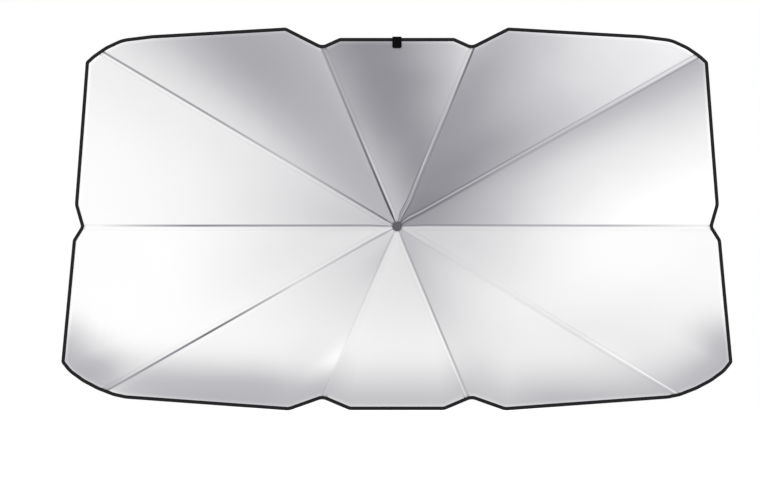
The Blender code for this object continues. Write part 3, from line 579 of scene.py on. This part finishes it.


# Silver-coated polyester: aluminium powder in a clear binder on a plain weave. It is pale with a
# slight violet cast where its painted shade darkens it, and its shine is soft and wide because the weave
# scatters it. Its reflections and shading are painted into its colour from a tone stored on its points.
silver_cloth, tree, shader = new_finish("silver_coated_polyester", Metallic=0.25, Specular_IOR_Level=0.3)
painted_tone = add(tree, "ShaderNodeAttribute", attribute_name="painted_tone")
ramp = add(tree, "ShaderNodeValToRGB", {"Fac": painted_tone.outputs["Fac"]})
set_stops(ramp, PAINTED_TONE_COLOURS)
laid = add(tree, "ShaderNodeUVMap", uv_map="cut")
threads = {"Vector": laid.outputs["UV"], "Scale": WAVE / THREAD}
warp = add(tree, "ShaderNodeTexWave", threads, bands_direction="X")
weft = add(tree, "ShaderNodeTexWave", threads, bands_direction="Y")
weave = add(tree, "ShaderNodeMath", {0: warp.outputs["Fac"], 1: weft.outputs["Fac"]}, operation="MULTIPLY")
soft = add(tree, "ShaderNodeTexNoise", {"Vector": laid.outputs["UV"], "Scale": CREASES_PER_M, "Detail": 2.0})
crease = add(tree, "ShaderNodeBump", {"Height": soft.outputs["Fac"], "Strength": 0.35, "Distance": CREASE_H})
woven = {"Height": weave.outputs["Value"], "Strength": 0.12, "Distance": WEAVE_DEPTH}
cloth_bump = add(tree, "ShaderNodeBump", {**woven, "Normal": crease.outputs["Normal"]})
rough = add(tree, "ShaderNodeMapRange", {"Value": soft.outputs["Fac"], "To Min": 0.42, "To Max": 0.52})
feed(shader, Base_Color=ramp, Roughness=rough, Normal=cloth_bump)

# Black-coated back: polyurethane on the same weave, dull black with a faint sheen.
black_lining, tree, shader = new_finish("black_coated_back", Roughness=0.7, Specular_IOR_Level=0.2)
laid = add(tree, "ShaderNodeUVMap", uv_map="cut")
threads = {"Vector": laid.outputs["UV"], "Scale": WAVE / THREAD}
warp = add(tree, "ShaderNodeTexWave", threads, bands_direction="X")
weft = add(tree, "ShaderNodeTexWave", threads, bands_direction="Y")
weave = add(tree, "ShaderNodeMath", {0: warp.outputs["Fac"], 1: weft.outputs["Fac"]}, operation="MULTIPLY")
tint = add(tree, "ShaderNodeValToRGB", {"Fac": weave.outputs["Value"]})
set_stops(tint, ((0.0, LINING), (1.0, "#232327")))
woven = {"Height": weave.outputs["Value"], "Strength": 0.25, "Distance": WEAVE_DEPTH}
bump = add(tree, "ShaderNodeBump", woven)
feed(shader, Base_Color=tint, Normal=bump)

GORE_ROWS = 34
HEM_ROWS = (8.5 * MM, 6.6 * MM, 5.4 * MM, 4.4 * MM, 3.0 * MM)  # from the hem's middle line inwards
# A painted glint: the coat is painted brighter in the rows beside the tape.
PAINTED_HEM_GLINT = (0.03, 0.045, 0.08, 0.10, 0.05)  # the stretched edge beside the tape catches the light
ROWS_APART = 3.0 * MM  # between the first of those and the last of the even rows
MOST_LEAN = 2.4  # at a sharp corner the rows are moved in by no more than this many times as far
GORE_ROUNDS = 4  # in which a gore's ends settle where its seams meet the hem
SEAM_SLACK = 0.0005  # radians by which a rib's line stays inside a gore where the seam crosses it
cloths = {}
for gore in GORES:
    near, far = gore_ribs(gore)
    rays = list(gore_rays(gore))
    # The gore ends where its seams meet the hem.
    ends = rays
    for _ in range(GORE_ROUNDS):
        full = hem_reach(np.array(ends))
        ends = [float(gore_sides(gore, full[0])[0]), float(gore_sides(gore, full[1])[1])]
    run = hem_run(ends[0], ends[1], also=rays)
    # Inwards from the hem, a row keeps its distance from the hem's line, so it is moved in more where
    # the line slants.
    leans = [m.length_squared / m.dot(edge.normalized()) for edge, m in zip(run, outward(run))]
    leans = np.minimum(MOST_LEAN, leans)
    lengths = np.array([edge.length for edge in run])
    turns = np.array([math.atan2(edge.y, edge.x) for edge in run])
    turns = (turns - ends[0] + 1) % (2 * math.pi) - 1 + ends[0]
    inner = [ray for ray in rays if ends[0] + SAME_WAY < ray < ends[1] - SAME_WAY]
    last = lengths - (HEM_ROWS[0] + ROWS_APART) * leans
    rows = [CLOTH_HOLE_R + (last - CLOTH_HOLE_R) * row / (GORE_ROWS - 1) for row in range(GORE_ROWS)]
    rows += [lengths - inside * leans for inside in HEM_ROWS]
    # Each row runs from seam to seam, with a point kept on each rib, where the cloth has its ridge.
    spots = []
    for row in rows:
        start, end = gore_sides(gore, row)
        here = []
        for turn, a, b in zip(turns, start, end):
            ridges = [min(max(ray, a + SEAM_SLACK), b - SEAM_SLACK) for ray in inner]
            here.append(np.interp(turn, [ends[0]] + inner + [ends[1]], [a] + ridges + [b]))
        spots.append(np.stack([row * np.cos(here), row * np.sin(here)], axis=-1))
    spots = np.array(spots)
    # Each point's painted tone: the coat's light and shade, painted into its colour.
    painted_tones = painted_tone_of(gore, spots)
    # The painted glint along the hem is added to the painted tone.
    painted_tones[GORE_ROWS:] += np.array(PAINTED_HEM_GLINT)[:, None]
    # The weave runs along the gore's middle, as the cloth is cut.
    middle = sum(rays) / 2
    beside = spots[..., 1] * math.cos(middle) - spots[..., 0] * math.sin(middle)
    along = spots[..., 0] * math.cos(middle) + spots[..., 1] * math.sin(middle)
    cloth = grid_mesh("cloth_" + gore, cloth_points(spots, CLOTH_T / 2), [silver_cloth, black_lining])
    mesh = cloth.data
    corners = np.array([loop.vertex_index for loop in mesh.loops])
    laid = np.stack([beside.ravel()[corners], along.ravel()[corners]], axis=-1)
    mesh.uv_layers.new(name="cut").data.foreach_set("uv", laid.ravel())
    mesh.attributes.new("painted_tone", "FLOAT", "POINT").data.foreach_set("value", painted_tones.ravel())
    wall = cloth.modifiers.new("painted_tones", "SOLIDIFY")
    wall.thickness = CLOTH_T
    wall.offset = -1.0
    wall.material_offset = 1
    wall.material_offset_rim = 1
    plain_mesh(cloth)
    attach(cloth, "canopy_" + near)
    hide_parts("gore_" + gore)
    cloths[gore] = cloth


# A felled seam runs along each rib: one edge of cloth folded over the next and stitched through.
# The fold is raised, and its light is painted on as a painted highlight; the line beside it, where one gore
# dips under the next, is painted dark as a painted shade.

SEAM_T = 0.12 * MM
SEAM_STEP = 8.0 * MM  # between its rows of points
SEAM_FIRST = 8.5 * MM  # the cap covers the seam's beginning
SEAM_FULL = 30.0 * MM  # from here outwards the seam has its full width
SEAM_NARROW = 0.3  # share of its width that it has at the hub
SEAM_UNDER_TAPE = 2.6 * MM  # the tape covers its end, this far inside the hem's middle line
SEAM_ROUNDS = 5  # in which the seam's end settles at the hem
PUCKERS_PER_M = 260.0  # 4 mm across, about one for each stitch

# Sewn fold: the same silver cloth, doubled and a little puckered by the thread, coloured by the painted tone
# with the seam's painted shade and highlight.
seam_cloth, tree, shader = new_finish("felled_seam", Metallic=0.25, Roughness=0.47, Specular_IOR_Level=0.3)
painted_tone = add(tree, "ShaderNodeAttribute", attribute_name="painted_tone")
ramp = add(tree, "ShaderNodeValToRGB", {"Fac": painted_tone.outputs["Fac"]})
set_stops(ramp, PAINTED_TONE_COLOURS)
place = add(tree, "ShaderNodeTexCoord").outputs["Object"]
pucker = add(tree, "ShaderNodeTexNoise", {"Vector": place, "Scale": PUCKERS_PER_M, "Detail": 2.0})
bump = add(tree, "ShaderNodeBump", {"Height": pucker.outputs["Fac"], "Strength": 0.2, "Distance": 0.2 * MM})
feed(shader, Base_Color=ramp, Normal=bump)

# Across the seam, from the painted dark line towards the fold: place and height in mm, and which painted tone
# is put there.
SEAM_SECTION = (
    (-2.6, -0.05, "painted_tone"),
    (-1.4, 0.22, "line"),
    (1.8, 0.24, "line"),
    (3.1, 0.36, "painted_tone"),
    (4.2, 0.42, "fold"),
    (6.0, 0.42, "fold"),
    (7.2, 0.34, "painted_tone"),
    (7.9, 0.22, "edge"),
    (9.5, 0.18, "edge"),
    (10.8, -0.05, "painted_tone"),
)
SEAM_ACROSS, SEAM_HEIGHT = np.array([(place, up) for place, up, kind in SEAM_SECTION]).T * MM
SEAM_KINDS = np.array([kind for place, up, kind in SEAM_SECTION])


def seam_spots(rib, distance):
    """Points across the seam, at distances along its rib from the hub."""
    angle = math.radians(RIBS[rib])
    way = np.array([math.cos(angle), math.sin(angle)])
    aside = np.array([-way[1], way[0]])
    wide = SEAMS[rib][2] * SEAM_ACROSS * np.clip(distance / SEAM_FULL, SEAM_NARROW, 1.0)
    return distance[..., None] * way + (seam_aside(rib, distance) + wide)[..., None] * aside


seams = {}
sewn = {}  # the middle line of each fold, where the thread goes, and how bright the coat is there
for rib, degrees in RIBS.items():
    side, line, fold, edge = SEAMS[rib][2:]
    after = next(gore for gore, carrier in GORES.items() if carrier == rib)
    before = list(GORES)[list(GORES).index(after) - 1]
    full = float(hem_reach(math.radians(degrees)))
    reach = np.full(len(SEAM_ACROSS), full)
    # Its lines of points all end under the tape, along the hem.
    for _ in range(SEAM_ROUNDS):
        spots = seam_spots(rib, reach)
        reach = reach + hem_reach(angles_of(spots)) - np.linalg.norm(spots, axis=-1)
    reach = reach - SEAM_UNDER_TAPE
    steps = round((full - SEAM_FIRST) / SEAM_STEP)
    share = np.linspace(0.0, 1.0, steps + 1)[:, None]
    distance = SEAM_FIRST + (reach[None, :] - SEAM_FIRST) * share
    spots = seam_spots(rib, distance)
    painted_tones = np.where(side * SEAM_ACROSS > 0, painted_tone_of(after, spots), painted_tone_of(before, spots))
    out = distance / full
    # The painted shade of the line and of the fold's far edge, and the painted highlight of the fold.
    painted_tones = painted_tones - np.where(SEAM_KINDS == "line", np.interp(out, SEAM_PLACES, line), 0.0)
    painted_tones = painted_tones + np.where(SEAM_KINDS == "fold", np.interp(out, SEAM_PLACES, fold), 0.0)
    painted_tones = painted_tones - np.where(SEAM_KINDS == "edge", np.interp(out, SEAM_PLACES, edge), 0.0)
    points = cloth_points(spots, CLOTH_T / 2 + SEAM_HEIGHT)
    on_fold = SEAM_KINDS == "fold"
    sewn[rib] = (points[:, on_fold].mean(axis=1), painted_tones[:, on_fold].mean(axis=1))
    if side < 0:
        points, painted_tones = points[:, ::-1], painted_tones[:, ::-1]
    seam = grid_mesh("seam_" + rib, points, [seam_cloth])
    seam.data.attributes.new("painted_tone", "FLOAT", "POINT").data.foreach_set("value", painted_tones.ravel())
    wall = seam.modifiers.new("fold", "SOLIDIFY")
    wall.thickness = SEAM_T
    wall.offset = -1.0
    plain_mesh(seam)
    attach(seam, "canopy_" + rib)
    seams[rib] = seam


# The hem is bound with black ribbed polyester tape, folded over the cloth's edge and stitched down.
# One length of tape goes with each gore, butted at the ribs.

TAPE = "#1D1D1F"
TAPE_W = 7.5 * MM
TAPE_T = 0.45 * MM
TAPE_INSIDE = CLOTH_T / 2 + 0.2 * MM  # from the cloth's middle to the tape's inner face
TAPE_SEWN = -TAPE_W / 2 + 1.4 * MM  # place of the stitches, outwards from the hem's middle line
TAPE_RIB = 2.0 * MM  # rib spacing as drawn; the real one is 0.6 mm, too fine to show
SHARP = math.radians(50)  # edges that turn by more than this stay sharp

# Ribbed tape: spun polyester, matt black, with cross ribs and a thread of grey in its highlights.
ribbed_tape, tree, shader = new_finish("ribbed_polyester_tape", Roughness=0.85, Specular_IOR_Level=0.1)
laid = add(tree, "ShaderNodeUVMap", uv_map="length")
ribbing = {"Vector": laid.outputs["UV"], "Scale": WAVE / TAPE_RIB}
ribs = add(tree, "ShaderNodeTexWave", ribbing, bands_direction="X")
tint = add(tree, "ShaderNodeValToRGB", {"Fac": ribs.outputs["Fac"]})
set_stops(tint, ((0.0, TAPE), (1.0, "#28282B")))
bump = add(tree, "ShaderNodeBump", {"Height": ribs.outputs["Fac"], "Strength": 0.4, "Distance": 0.15 * MM})
feed(shader, Base_Color=tint, Normal=bump)

# The folded section, as distances outwards from the hem's middle line and forwards from the cloth's middle.
TAPE_SECTION = [
    (-TAPE_W / 2, TAPE_INSIDE),
    (-TAPE_W / 2 + 0.15 * MM, TAPE_INSIDE + TAPE_T * 0.8),
    (-TAPE_W / 2 + 0.6 * MM, TAPE_INSIDE + TAPE_T),
    (TAPE_W / 2 - 0.7 * MM, TAPE_INSIDE + TAPE_T),
    (TAPE_W / 2 - 0.2 * MM, TAPE_INSIDE + TAPE_T * 0.5),
    (TAPE_W / 2, 0.0),
    (TAPE_W / 2 - 0.2 * MM, -TAPE_INSIDE - TAPE_T * 0.5),
    (TAPE_W / 2 - 0.7 * MM, -TAPE_INSIDE - TAPE_T),
    (-TAPE_W / 2 + 0.6 * MM, -TAPE_INSIDE - TAPE_T),
    (-TAPE_W / 2 + 0.15 * MM, -TAPE_INSIDE - TAPE_T * 0.8),
    (-TAPE_W / 2, -TAPE_INSIDE),
    (TAPE_W / 2 - 1.2 * MM, -TAPE_INSIDE * 0.8),
    (TAPE_W / 2 - 1.2 * MM, TAPE_INSIDE * 0.8),
]
tapes = {}
hemmed = {}  # where the thread goes along each length of tape
for gore in GORES:
    start, end = gore_rays(gore)
    run = hem_run(start, end)
    lengths = np.concatenate([[0.0], np.cumsum([(q - p).length for p, q in zip(run, run[1:])])])
    lines = list(zip(run, outward(run)))
    spots = np.array([[tuple(edge + mitre * out) for out, lift in TAPE_SECTION] for edge, mitre in lines])
    points = cloth_points(spots, np.array([lift for out, lift in TAPE_SECTION])).reshape(-1, 3).tolist()
    hemmed[gore] = np.array([tuple(edge + mitre * TAPE_SEWN) for edge, mitre in lines])
    wide = len(TAPE_SECTION)
    laid = [(length, i * MM) for length in lengths for i in range(wide)]
    faces = []
    for r in range(len(run) - 1):
        for c in range(wide):
            d = (c + 1) % wide
            faces.append((r * wide + c, r * wide + d, (r + 1) * wide + d, (r + 1) * wide + c))
    faces.append(tuple(range(wide)))
    faces.append(tuple((len(run) - 1) * wide + c for c in reversed(range(wide))))
    mesh = bpy.data.meshes.new("tape_" + gore)
    mesh.from_pydata(points, [], faces)
    uv = mesh.uv_layers.new(name="length")
    for loop in mesh.loops:
        uv.data[loop.index].uv = laid[loop.vertex_index]
    mesh.materials.append(ribbed_tape)
    bm = bmesh.new()
    bm.from_mesh(mesh)
    bmesh.ops.recalc_face_normals(bm, faces=bm.faces)
    bm.to_mesh(mesh)
    bm.free()
    mesh.shade_smooth()
    mesh.set_sharp_from_angle(angle=SHARP)
    tape = bpy.data.objects.new("tape_" + gore, mesh)
    bpy.context.scene.collection.objects.link(tape)
    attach(tape, "canopy_" + GORES[gore])
    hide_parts("binding_" + gore)
    tapes[gore] = tape


# The closing tab is a short tongue of black nylon webbing, sewn over the middle of the top hem.
# Its lower corners are cut round and heat-sealed.

TAB_W = 20.0 * MM
TAB_H = 25.0 * MM
TAB_T = 1.4 * MM
TAB_CORNER_R = 4.0 * MM
TAB_ABOVE_HEM = 6.5 * MM
TAB_EDGE_R = 0.35 * MM
TAB_GAP = 0.1 * MM  # between the tape and the tab
WEBBING = "#050507"
TWILL_SCALE = 120.0  # the ribs of the weave are 3 mm apart as drawn; the real ones are 1 mm

# Nylon webbing: deep black, with a coarse herringbone that gives a dull, broken shine.
nylon_webbing, tree, shader = new_finish("nylon_webbing", Roughness=0.85, Specular_IOR_Level=0.05)
place = add(tree, "ShaderNodeTexCoord").outputs["Object"]
twilled = {"Vector": place, "Scale": TWILL_SCALE, "Distortion": 0.6}
twill = add(tree, "ShaderNodeTexWave", twilled, bands_direction="DIAGONAL")
tint = add(tree, "ShaderNodeValToRGB", {"Fac": twill.outputs["Fac"]})
set_stops(tint, ((0.0, WEBBING), (1.0, "#0D0D10")))
bump = add(tree, "ShaderNodeBump", {"Height": twill.outputs["Fac"], "Strength": 0.5, "Distance": 0.2 * MM})
feed(shader, Base_Color=tint, Normal=bump)

tab_top = ray_hits_hem(math.pi / 2).y + TAB_ABOVE_HEM
tab_low = tab_top - TAB_H
outline = [Vector((TAB_W / 2, tab_top))]
outline += rounded((TAB_W / 2, tab_top), (TAB_W / 2, tab_low), (-TAB_W / 2, tab_low), TAB_CORNER_R)
outline += rounded((TAB_W / 2, tab_low), (-TAB_W / 2, tab_low), (-TAB_W / 2, tab_top), TAB_CORNER_R)
outline.append(Vector((-TAB_W / 2, tab_top)))
high, low = depth_of(np.array([(0.0, tab_top), (0.0, tab_low)]))


def tab_back(up):
    """Where the tab's back is along the shaft, at a height."""
    share = (tab_top - up) / TAB_H
    depth = high * (1 - share) + low * share
    return PIVOT_Y + depth - CLOTH_FORWARD - TAPE_INSIDE - TAPE_T - TAB_GAP


bm = bmesh.new()
back = bm.faces.new([bm.verts.new((p.x, tab_back(p.y), p.y)) for p in outline])
grown = bmesh.ops.extrude_face_region(bm, geom=[back])["geom"]
bmesh.ops.translate(bm, vec=(0.0, -TAB_T, 0.0), verts=[v for v in grown if isinstance(v, bmesh.types.BMVert)])
bmesh.ops.recalc_face_normals(bm, faces=bm.faces)
mesh = bpy.data.meshes.new("tab")
bm.to_mesh(mesh)
bm.free()
mesh.materials.append(nylon_webbing)
tab = bpy.data.objects.new("tab", mesh)
bpy.context.scene.collection.objects.link(tab)
edge = tab.modifiers.new("sealed_edge", "BEVEL")
edge.width = TAB_EDGE_R
edge.segments = 2
plain_mesh(tab)
tab.data.shade_smooth()
tab.data.set_sharp_from_angle(angle=SHARP)
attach(tab, "canopy_" + GORES["top"])
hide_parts("closing_tab")


# Everything is sewn with a lockstitch: silver thread along the folds of the seams, black on tape and tab.
# The stitches are drawn twice as thick as the real thread, which is too fine to show.

STITCH = 2.7 * MM
STITCH_STEP = 3.5 * MM
STITCH_T = 0.45 * MM
STITCH_RISE = STITCH_T / 4  # from what is sewn to the stitch's middle
TWIST_SCALE = 600.0  # the turns of the thread are 0.6 mm apart
TAB_SEWN = 2.2 * MM  # from the tab's edge

# Silver thread: spun polyester coloured with the cloth's painted tone, with painted shade where it sinks in
# along its twist.
silver_thread, tree, shader = new_finish("silver_thread", Roughness=0.6, Specular_IOR_Level=0.3)
painted_tone = add(tree, "ShaderNodeAttribute", attribute_name="painted_tone")
ramp = add(tree, "ShaderNodeValToRGB", {"Fac": painted_tone.outputs["Fac"]})
set_stops(ramp, PAINTED_TONE_COLOURS)
place = add(tree, "ShaderNodeTexCoord").outputs["Object"]
twist = add(tree, "ShaderNodeTexWave", {"Vector": place, "Scale": TWIST_SCALE}, bands_direction="DIAGONAL")
painted_twist_shade = add(tree, "ShaderNodeMapRange", {"Value": twist.outputs["Fac"], "To Min": 0.9, "To Max": 1.0})
toned = {0: ramp.outputs["Color"], "Scale": painted_twist_shade.outputs["Result"]}
tint = add(tree, "ShaderNodeVectorMath", toned, operation="SCALE")
feed(shader, Base_Color=tint)

# Black thread: spun polyester, dull, with the twist just showing.
black_thread, tree, shader = new_finish("black_thread", Roughness=0.8, Specular_IOR_Level=0.1)
place = add(tree, "ShaderNodeTexCoord").outputs["Object"]
twist = add(tree, "ShaderNodeTexWave", {"Vector": place, "Scale": TWIST_SCALE}, bands_direction="DIAGONAL")
tint = add(tree, "ShaderNodeValToRGB", {"Fac": twist.outputs["Fac"]})
set_stops(tint, ((0.0, "#0C0C0E"), (1.0, "#161618")))
feed(shader, Base_Color=tint)

# Stitches along a line: one rounded stitch at each step, turned along the line.
lockstitch = bpy.data.node_groups.new("lockstitch", "GeometryNodeTree")
lockstitch.interface.new_socket("Line", in_out="INPUT", socket_type="NodeSocketGeometry")
lockstitch.interface.new_socket("Stitches", in_out="OUTPUT", socket_type="NodeSocketGeometry")
sizes = {"Step": STITCH_STEP, "Length": STITCH, "Thickness": STITCH_T}
for name in sizes:
    lockstitch.interface.new_socket(name, in_out="INPUT", socket_type="NodeSocketFloat")
lockstitch.interface.new_socket("Thread", in_out="INPUT", socket_type="NodeSocketMaterial")
inputs = add(lockstitch, "NodeGroupInput").outputs
curve = add(lockstitch, "GeometryNodeMeshToCurve", {"Mesh": inputs["Line"]})
stepped = {"Curve": curve.outputs["Curve"], "Length": inputs["Step"]}
steps = add(lockstitch, "GeometryNodeResampleCurve", stepped, mode="LENGTH")
ball = add(lockstitch, "GeometryNodeMeshUVSphere", {"Segments": 6, "Rings": 4, "Radius": 0.5})
thick, length = inputs["Thickness"], inputs["Length"]
shape = add(lockstitch, "ShaderNodeCombineXYZ", {"X": thick, "Y": thick, "Z": length})
along = add(lockstitch, "GeometryNodeInputTangent")
turned = add(lockstitch, "FunctionNodeAlignRotationToVector", {"Vector": along.outputs["Tangent"]}, axis="Z")
stitched = {
    "Points": steps.outputs["Curve"],
    "Instance": ball.outputs["Mesh"],
    "Rotation": turned.outputs["Rotation"],
    "Scale": shape.outputs["Vector"],
}
laid = add(lockstitch, "GeometryNodeInstanceOnPoints", stitched)
real = add(lockstitch, "GeometryNodeRealizeInstances", {"Geometry": laid.outputs["Instances"]})
finished = {"Geometry": real.outputs["Geometry"], "Material": inputs["Thread"]}
threaded = add(lockstitch, "GeometryNodeSetMaterial", finished)
add(lockstitch, "NodeGroupOutput", {"Stitches": threaded.outputs["Geometry"]})
sockets = {item.name: item.identifier for item in lockstitch.interface.items_tree if item.in_out == "INPUT"}


def sew(name, line, finish, rib, painted_tones=None):
    """Stitches along a line of points, riding on a rib's body."""
    mesh = bpy.data.meshes.new(name)
    mesh.from_pydata([tuple(point) for point in line], [(i, i + 1) for i in range(len(line) - 1)], [])
    if painted_tones is not None:
        mesh.attributes.new("painted_tone", "FLOAT", "POINT").data.foreach_set("value", np.ascontiguousarray(painted_tones))
    made = bpy.data.objects.new(name, mesh)
    bpy.context.scene.collection.objects.link(made)
    sewing = made.modifiers.new("lockstitch", "NODES")
    sewing.node_group = lockstitch
    for label, value in sizes.items():
        sewing[sockets[label]] = value
    sewing[sockets["Thread"]] = finish
    plain_mesh(made).data.shade_smooth()
    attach(made, "canopy_" + rib)
    return made


stitches = {}
for gore, rib in GORES.items():
    fold, tones = sewn[rib]
    fold = fold - np.array([0.0, STITCH_RISE, 0.0])
    tape = cloth_points(hemmed[gore], TAPE_INSIDE + TAPE_T + STITCH_RISE)
    stitches[gore] = [
        sew("seam_stitches_" + rib, fold, silver_thread, rib, tones),
        sew("tape_stitches_" + gore, tape[1:-1], black_thread, rib),
    ]
box = []
for aside, down in ((-1, 0), (-1, 1), (1, 1), (1, 0), (-1, 0)):
    up = tab_top - TAB_SEWN - down * (TAB_H - 2 * TAB_SEWN)
    box.append((aside * (TAB_W / 2 - TAB_SEWN), tab_back(up) - TAB_T - STITCH_RISE, up))
stitches["top"].append(sew("tab_stitches", box, black_thread, GORES["top"]))


# When the ribs swing back, the cloth between them folds in narrow pleats. Here each gore and what is sewn
# to it, its seam, its tape, their stitches and the tab, only gets a mesh of its own; nothing is folded.

for gore, rib in GORES.items():
    soft_pieces = [cloths[gore], tapes[gore], seams[rib]] + stitches[gore] + ([tab] if gore == "top" else [])
    for piece in soft_pieces:
        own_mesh(piece)
    start, end = gore_rays(gore)
    run = hem_run(start, end)
    middle = (start + end) / 2
    along = [p.x * math.cos(middle) + p.y * math.sin(middle) for p in run]
    beside = [p.y * math.cos(middle) - p.x * math.sin(middle) for p in run]


# The cap on the silver side is a small dark grey moulded button that closes the cloth's hub hole.
# It is pressed into the front tube, and has a low dome with a softly rounded rim.

# Moulded cap: dark grey ABS with a slight violet cast, half matt, with a fine grain.
grey_abs, tree, shader = new_finish("grey_abs", Specular_IOR_Level=0.4)
place = add(tree, "ShaderNodeTexCoord").outputs["Object"]
grain = add(tree, "ShaderNodeTexNoise", {"Vector": place, "Scale": 1 / MOULD_GRAIN, "Detail": 3.0})
tint = add(tree, "ShaderNodeValToRGB", {"Fac": grain.outputs["Fac"]})
set_stops(tint, ((0.0, "#4E4D53"), (1.0, "#5E5D63")))
rough = add(tree, "ShaderNodeMapRange", {"Value": grain.outputs["Fac"], "To Min": 0.4, "To Max": 0.55})
bump = add(tree, "ShaderNodeBump", {"Height": grain.outputs["Fac"], "Strength": 0.25, "Distance": 0.06 * MM})
feed(shader, Base_Color=tint, Roughness=rough, Normal=bump)
dress(["cap"], grey_abs)


# The studio: a plain white floor below the shade, white surroundings, two soft lamps from the front
# and one from behind. From below, the floor is clear, so that the shade can be seen through it.

FLOOR_Z = -0.62
FLOOR_HALF = 9.0
FLOOR_GLOW = 0.4  # makes the floor white where it is seen, with the shadow kept
SURROUND = 0.72  # strength of the white surroundings as a light
LAMP_SPREAD = math.radians(25)
LAMPS = {
    "key": (0.55, (-0.35, 1.0, -0.45)),
    "fill": (0.35, (0.5, 1.0, 0.1)),
    "back": (0.35, (0.2, -1.0, -0.7)),
}
PICTURE_W = 760  # picture points
SENSOR = 36.0
PIXEL = 2.158 * MM  # width of one picture point at the canopy
CAMERA_AWAY = 14.0
HUB_LEFT = 16.95  # picture points from the picture's middle to the hub
HUB_UP = 20.9
MIDDLE_DEPTH = 75 * MM  # depth of the hem behind the hub

white_floor, tree, shader = new_finish("white_floor", Roughness=0.9)
shader.inputs["Base Color"].default_value = linear("#F4F4F4")
output = tree.nodes["Material Output"]
light = add(tree, "ShaderNodeLightPath")
seen = {0: light.outputs["Is Camera Ray"], 1: light.outputs["Is Glossy Ray"]}
seen = add(tree, "ShaderNodeMath", seen, operation="MAXIMUM").outputs["Value"]
glow = add(tree, "ShaderNodeEmission", {"Color": (1.0, 1.0, 1.0, 1.0), "Strength": FLOOR_GLOW})
both = add(tree, "ShaderNodeAddShader", {0: shader.outputs["BSDF"], 1: glow.outputs["Emission"]})
above = add(tree, "ShaderNodeMixShader", {0: seen, 1: shader.outputs["BSDF"], 2: both.outputs["Shader"]})
below = add(tree, "ShaderNodeNewGeometry").outputs["Backfacing"]
clear = add(tree, "ShaderNodeBsdfTransparent")
mix = add(tree, "ShaderNodeMixShader", {0: below, 1: above.outputs["Shader"], 2: clear.outputs["BSDF"]})
feed(output, Surface=mix)
bm = bmesh.new()
bmesh.ops.create_grid(bm, x_segments=1, y_segments=1, size=FLOOR_HALF)
bmesh.ops.translate(bm, vec=(0.0, 0.0, FLOOR_Z), verts=bm.verts)
mesh = bpy.data.meshes.new("floor")
bm.to_mesh(mesh)
bm.free()
mesh.materials.append(white_floor)
floor = bpy.data.objects.new("floor", mesh)
bpy.context.scene.collection.objects.link(floor)

world = bpy.data.worlds.new("studio")
bpy.context.scene.world = world
world.use_nodes = True
tree = world.node_tree
light = add(tree, "ShaderNodeLightPath")
seen = {0: light.outputs["Is Camera Ray"], 1: light.outputs["Is Glossy Ray"]}
seen = add(tree, "ShaderNodeMath", seen, operation="MAXIMUM").outputs["Value"]
seen = {0: seen, 1: light.outputs["Is Transmission Ray"]}
seen = add(tree, "ShaderNodeMath", seen, operation="MAXIMUM").outputs["Value"]
level = add(tree, "ShaderNodeMapRange", {"Value": seen, "To Min": SURROUND, "To Max": 1.0})
background = tree.nodes["Background"]
background.inputs["Color"].default_value = (1.0, 1.0, 1.0, 1.0)
feed(background, Strength=level)

for name, (strength, way) in LAMPS.items():
    lamp = bpy.data.lights.new(name, "SUN")
    lamp.energy = strength
    lamp.angle = LAMP_SPREAD
    holder = bpy.data.objects.new(name, lamp)
    bpy.context.scene.collection.objects.link(holder)
    holder.rotation_mode = "QUATERNION"
    holder.rotation_quaternion = Vector(way).to_track_quat("-Z", "Y")

lens = bpy.data.cameras.new("camera")
lens.sensor_width = SENSOR
lens.lens = SENSOR * CAMERA_AWAY / (PICTURE_W * PIXEL)
lens.clip_end = 100.0
camera = bpy.data.objects.new("camera", lens)
bpy.context.scene.collection.objects.link(camera)
camera.location = (-HUB_LEFT * PIXEL, PIVOT_Y + MIDDLE_DEPTH - CAMERA_AWAY, -HUB_UP * PIXEL)
camera.rotation_euler = (math.pi / 2, 0.0, 0.0)
bpy.context.scene.camera = camera
bpy.context.scene.view_settings.view_transform = "Standard"
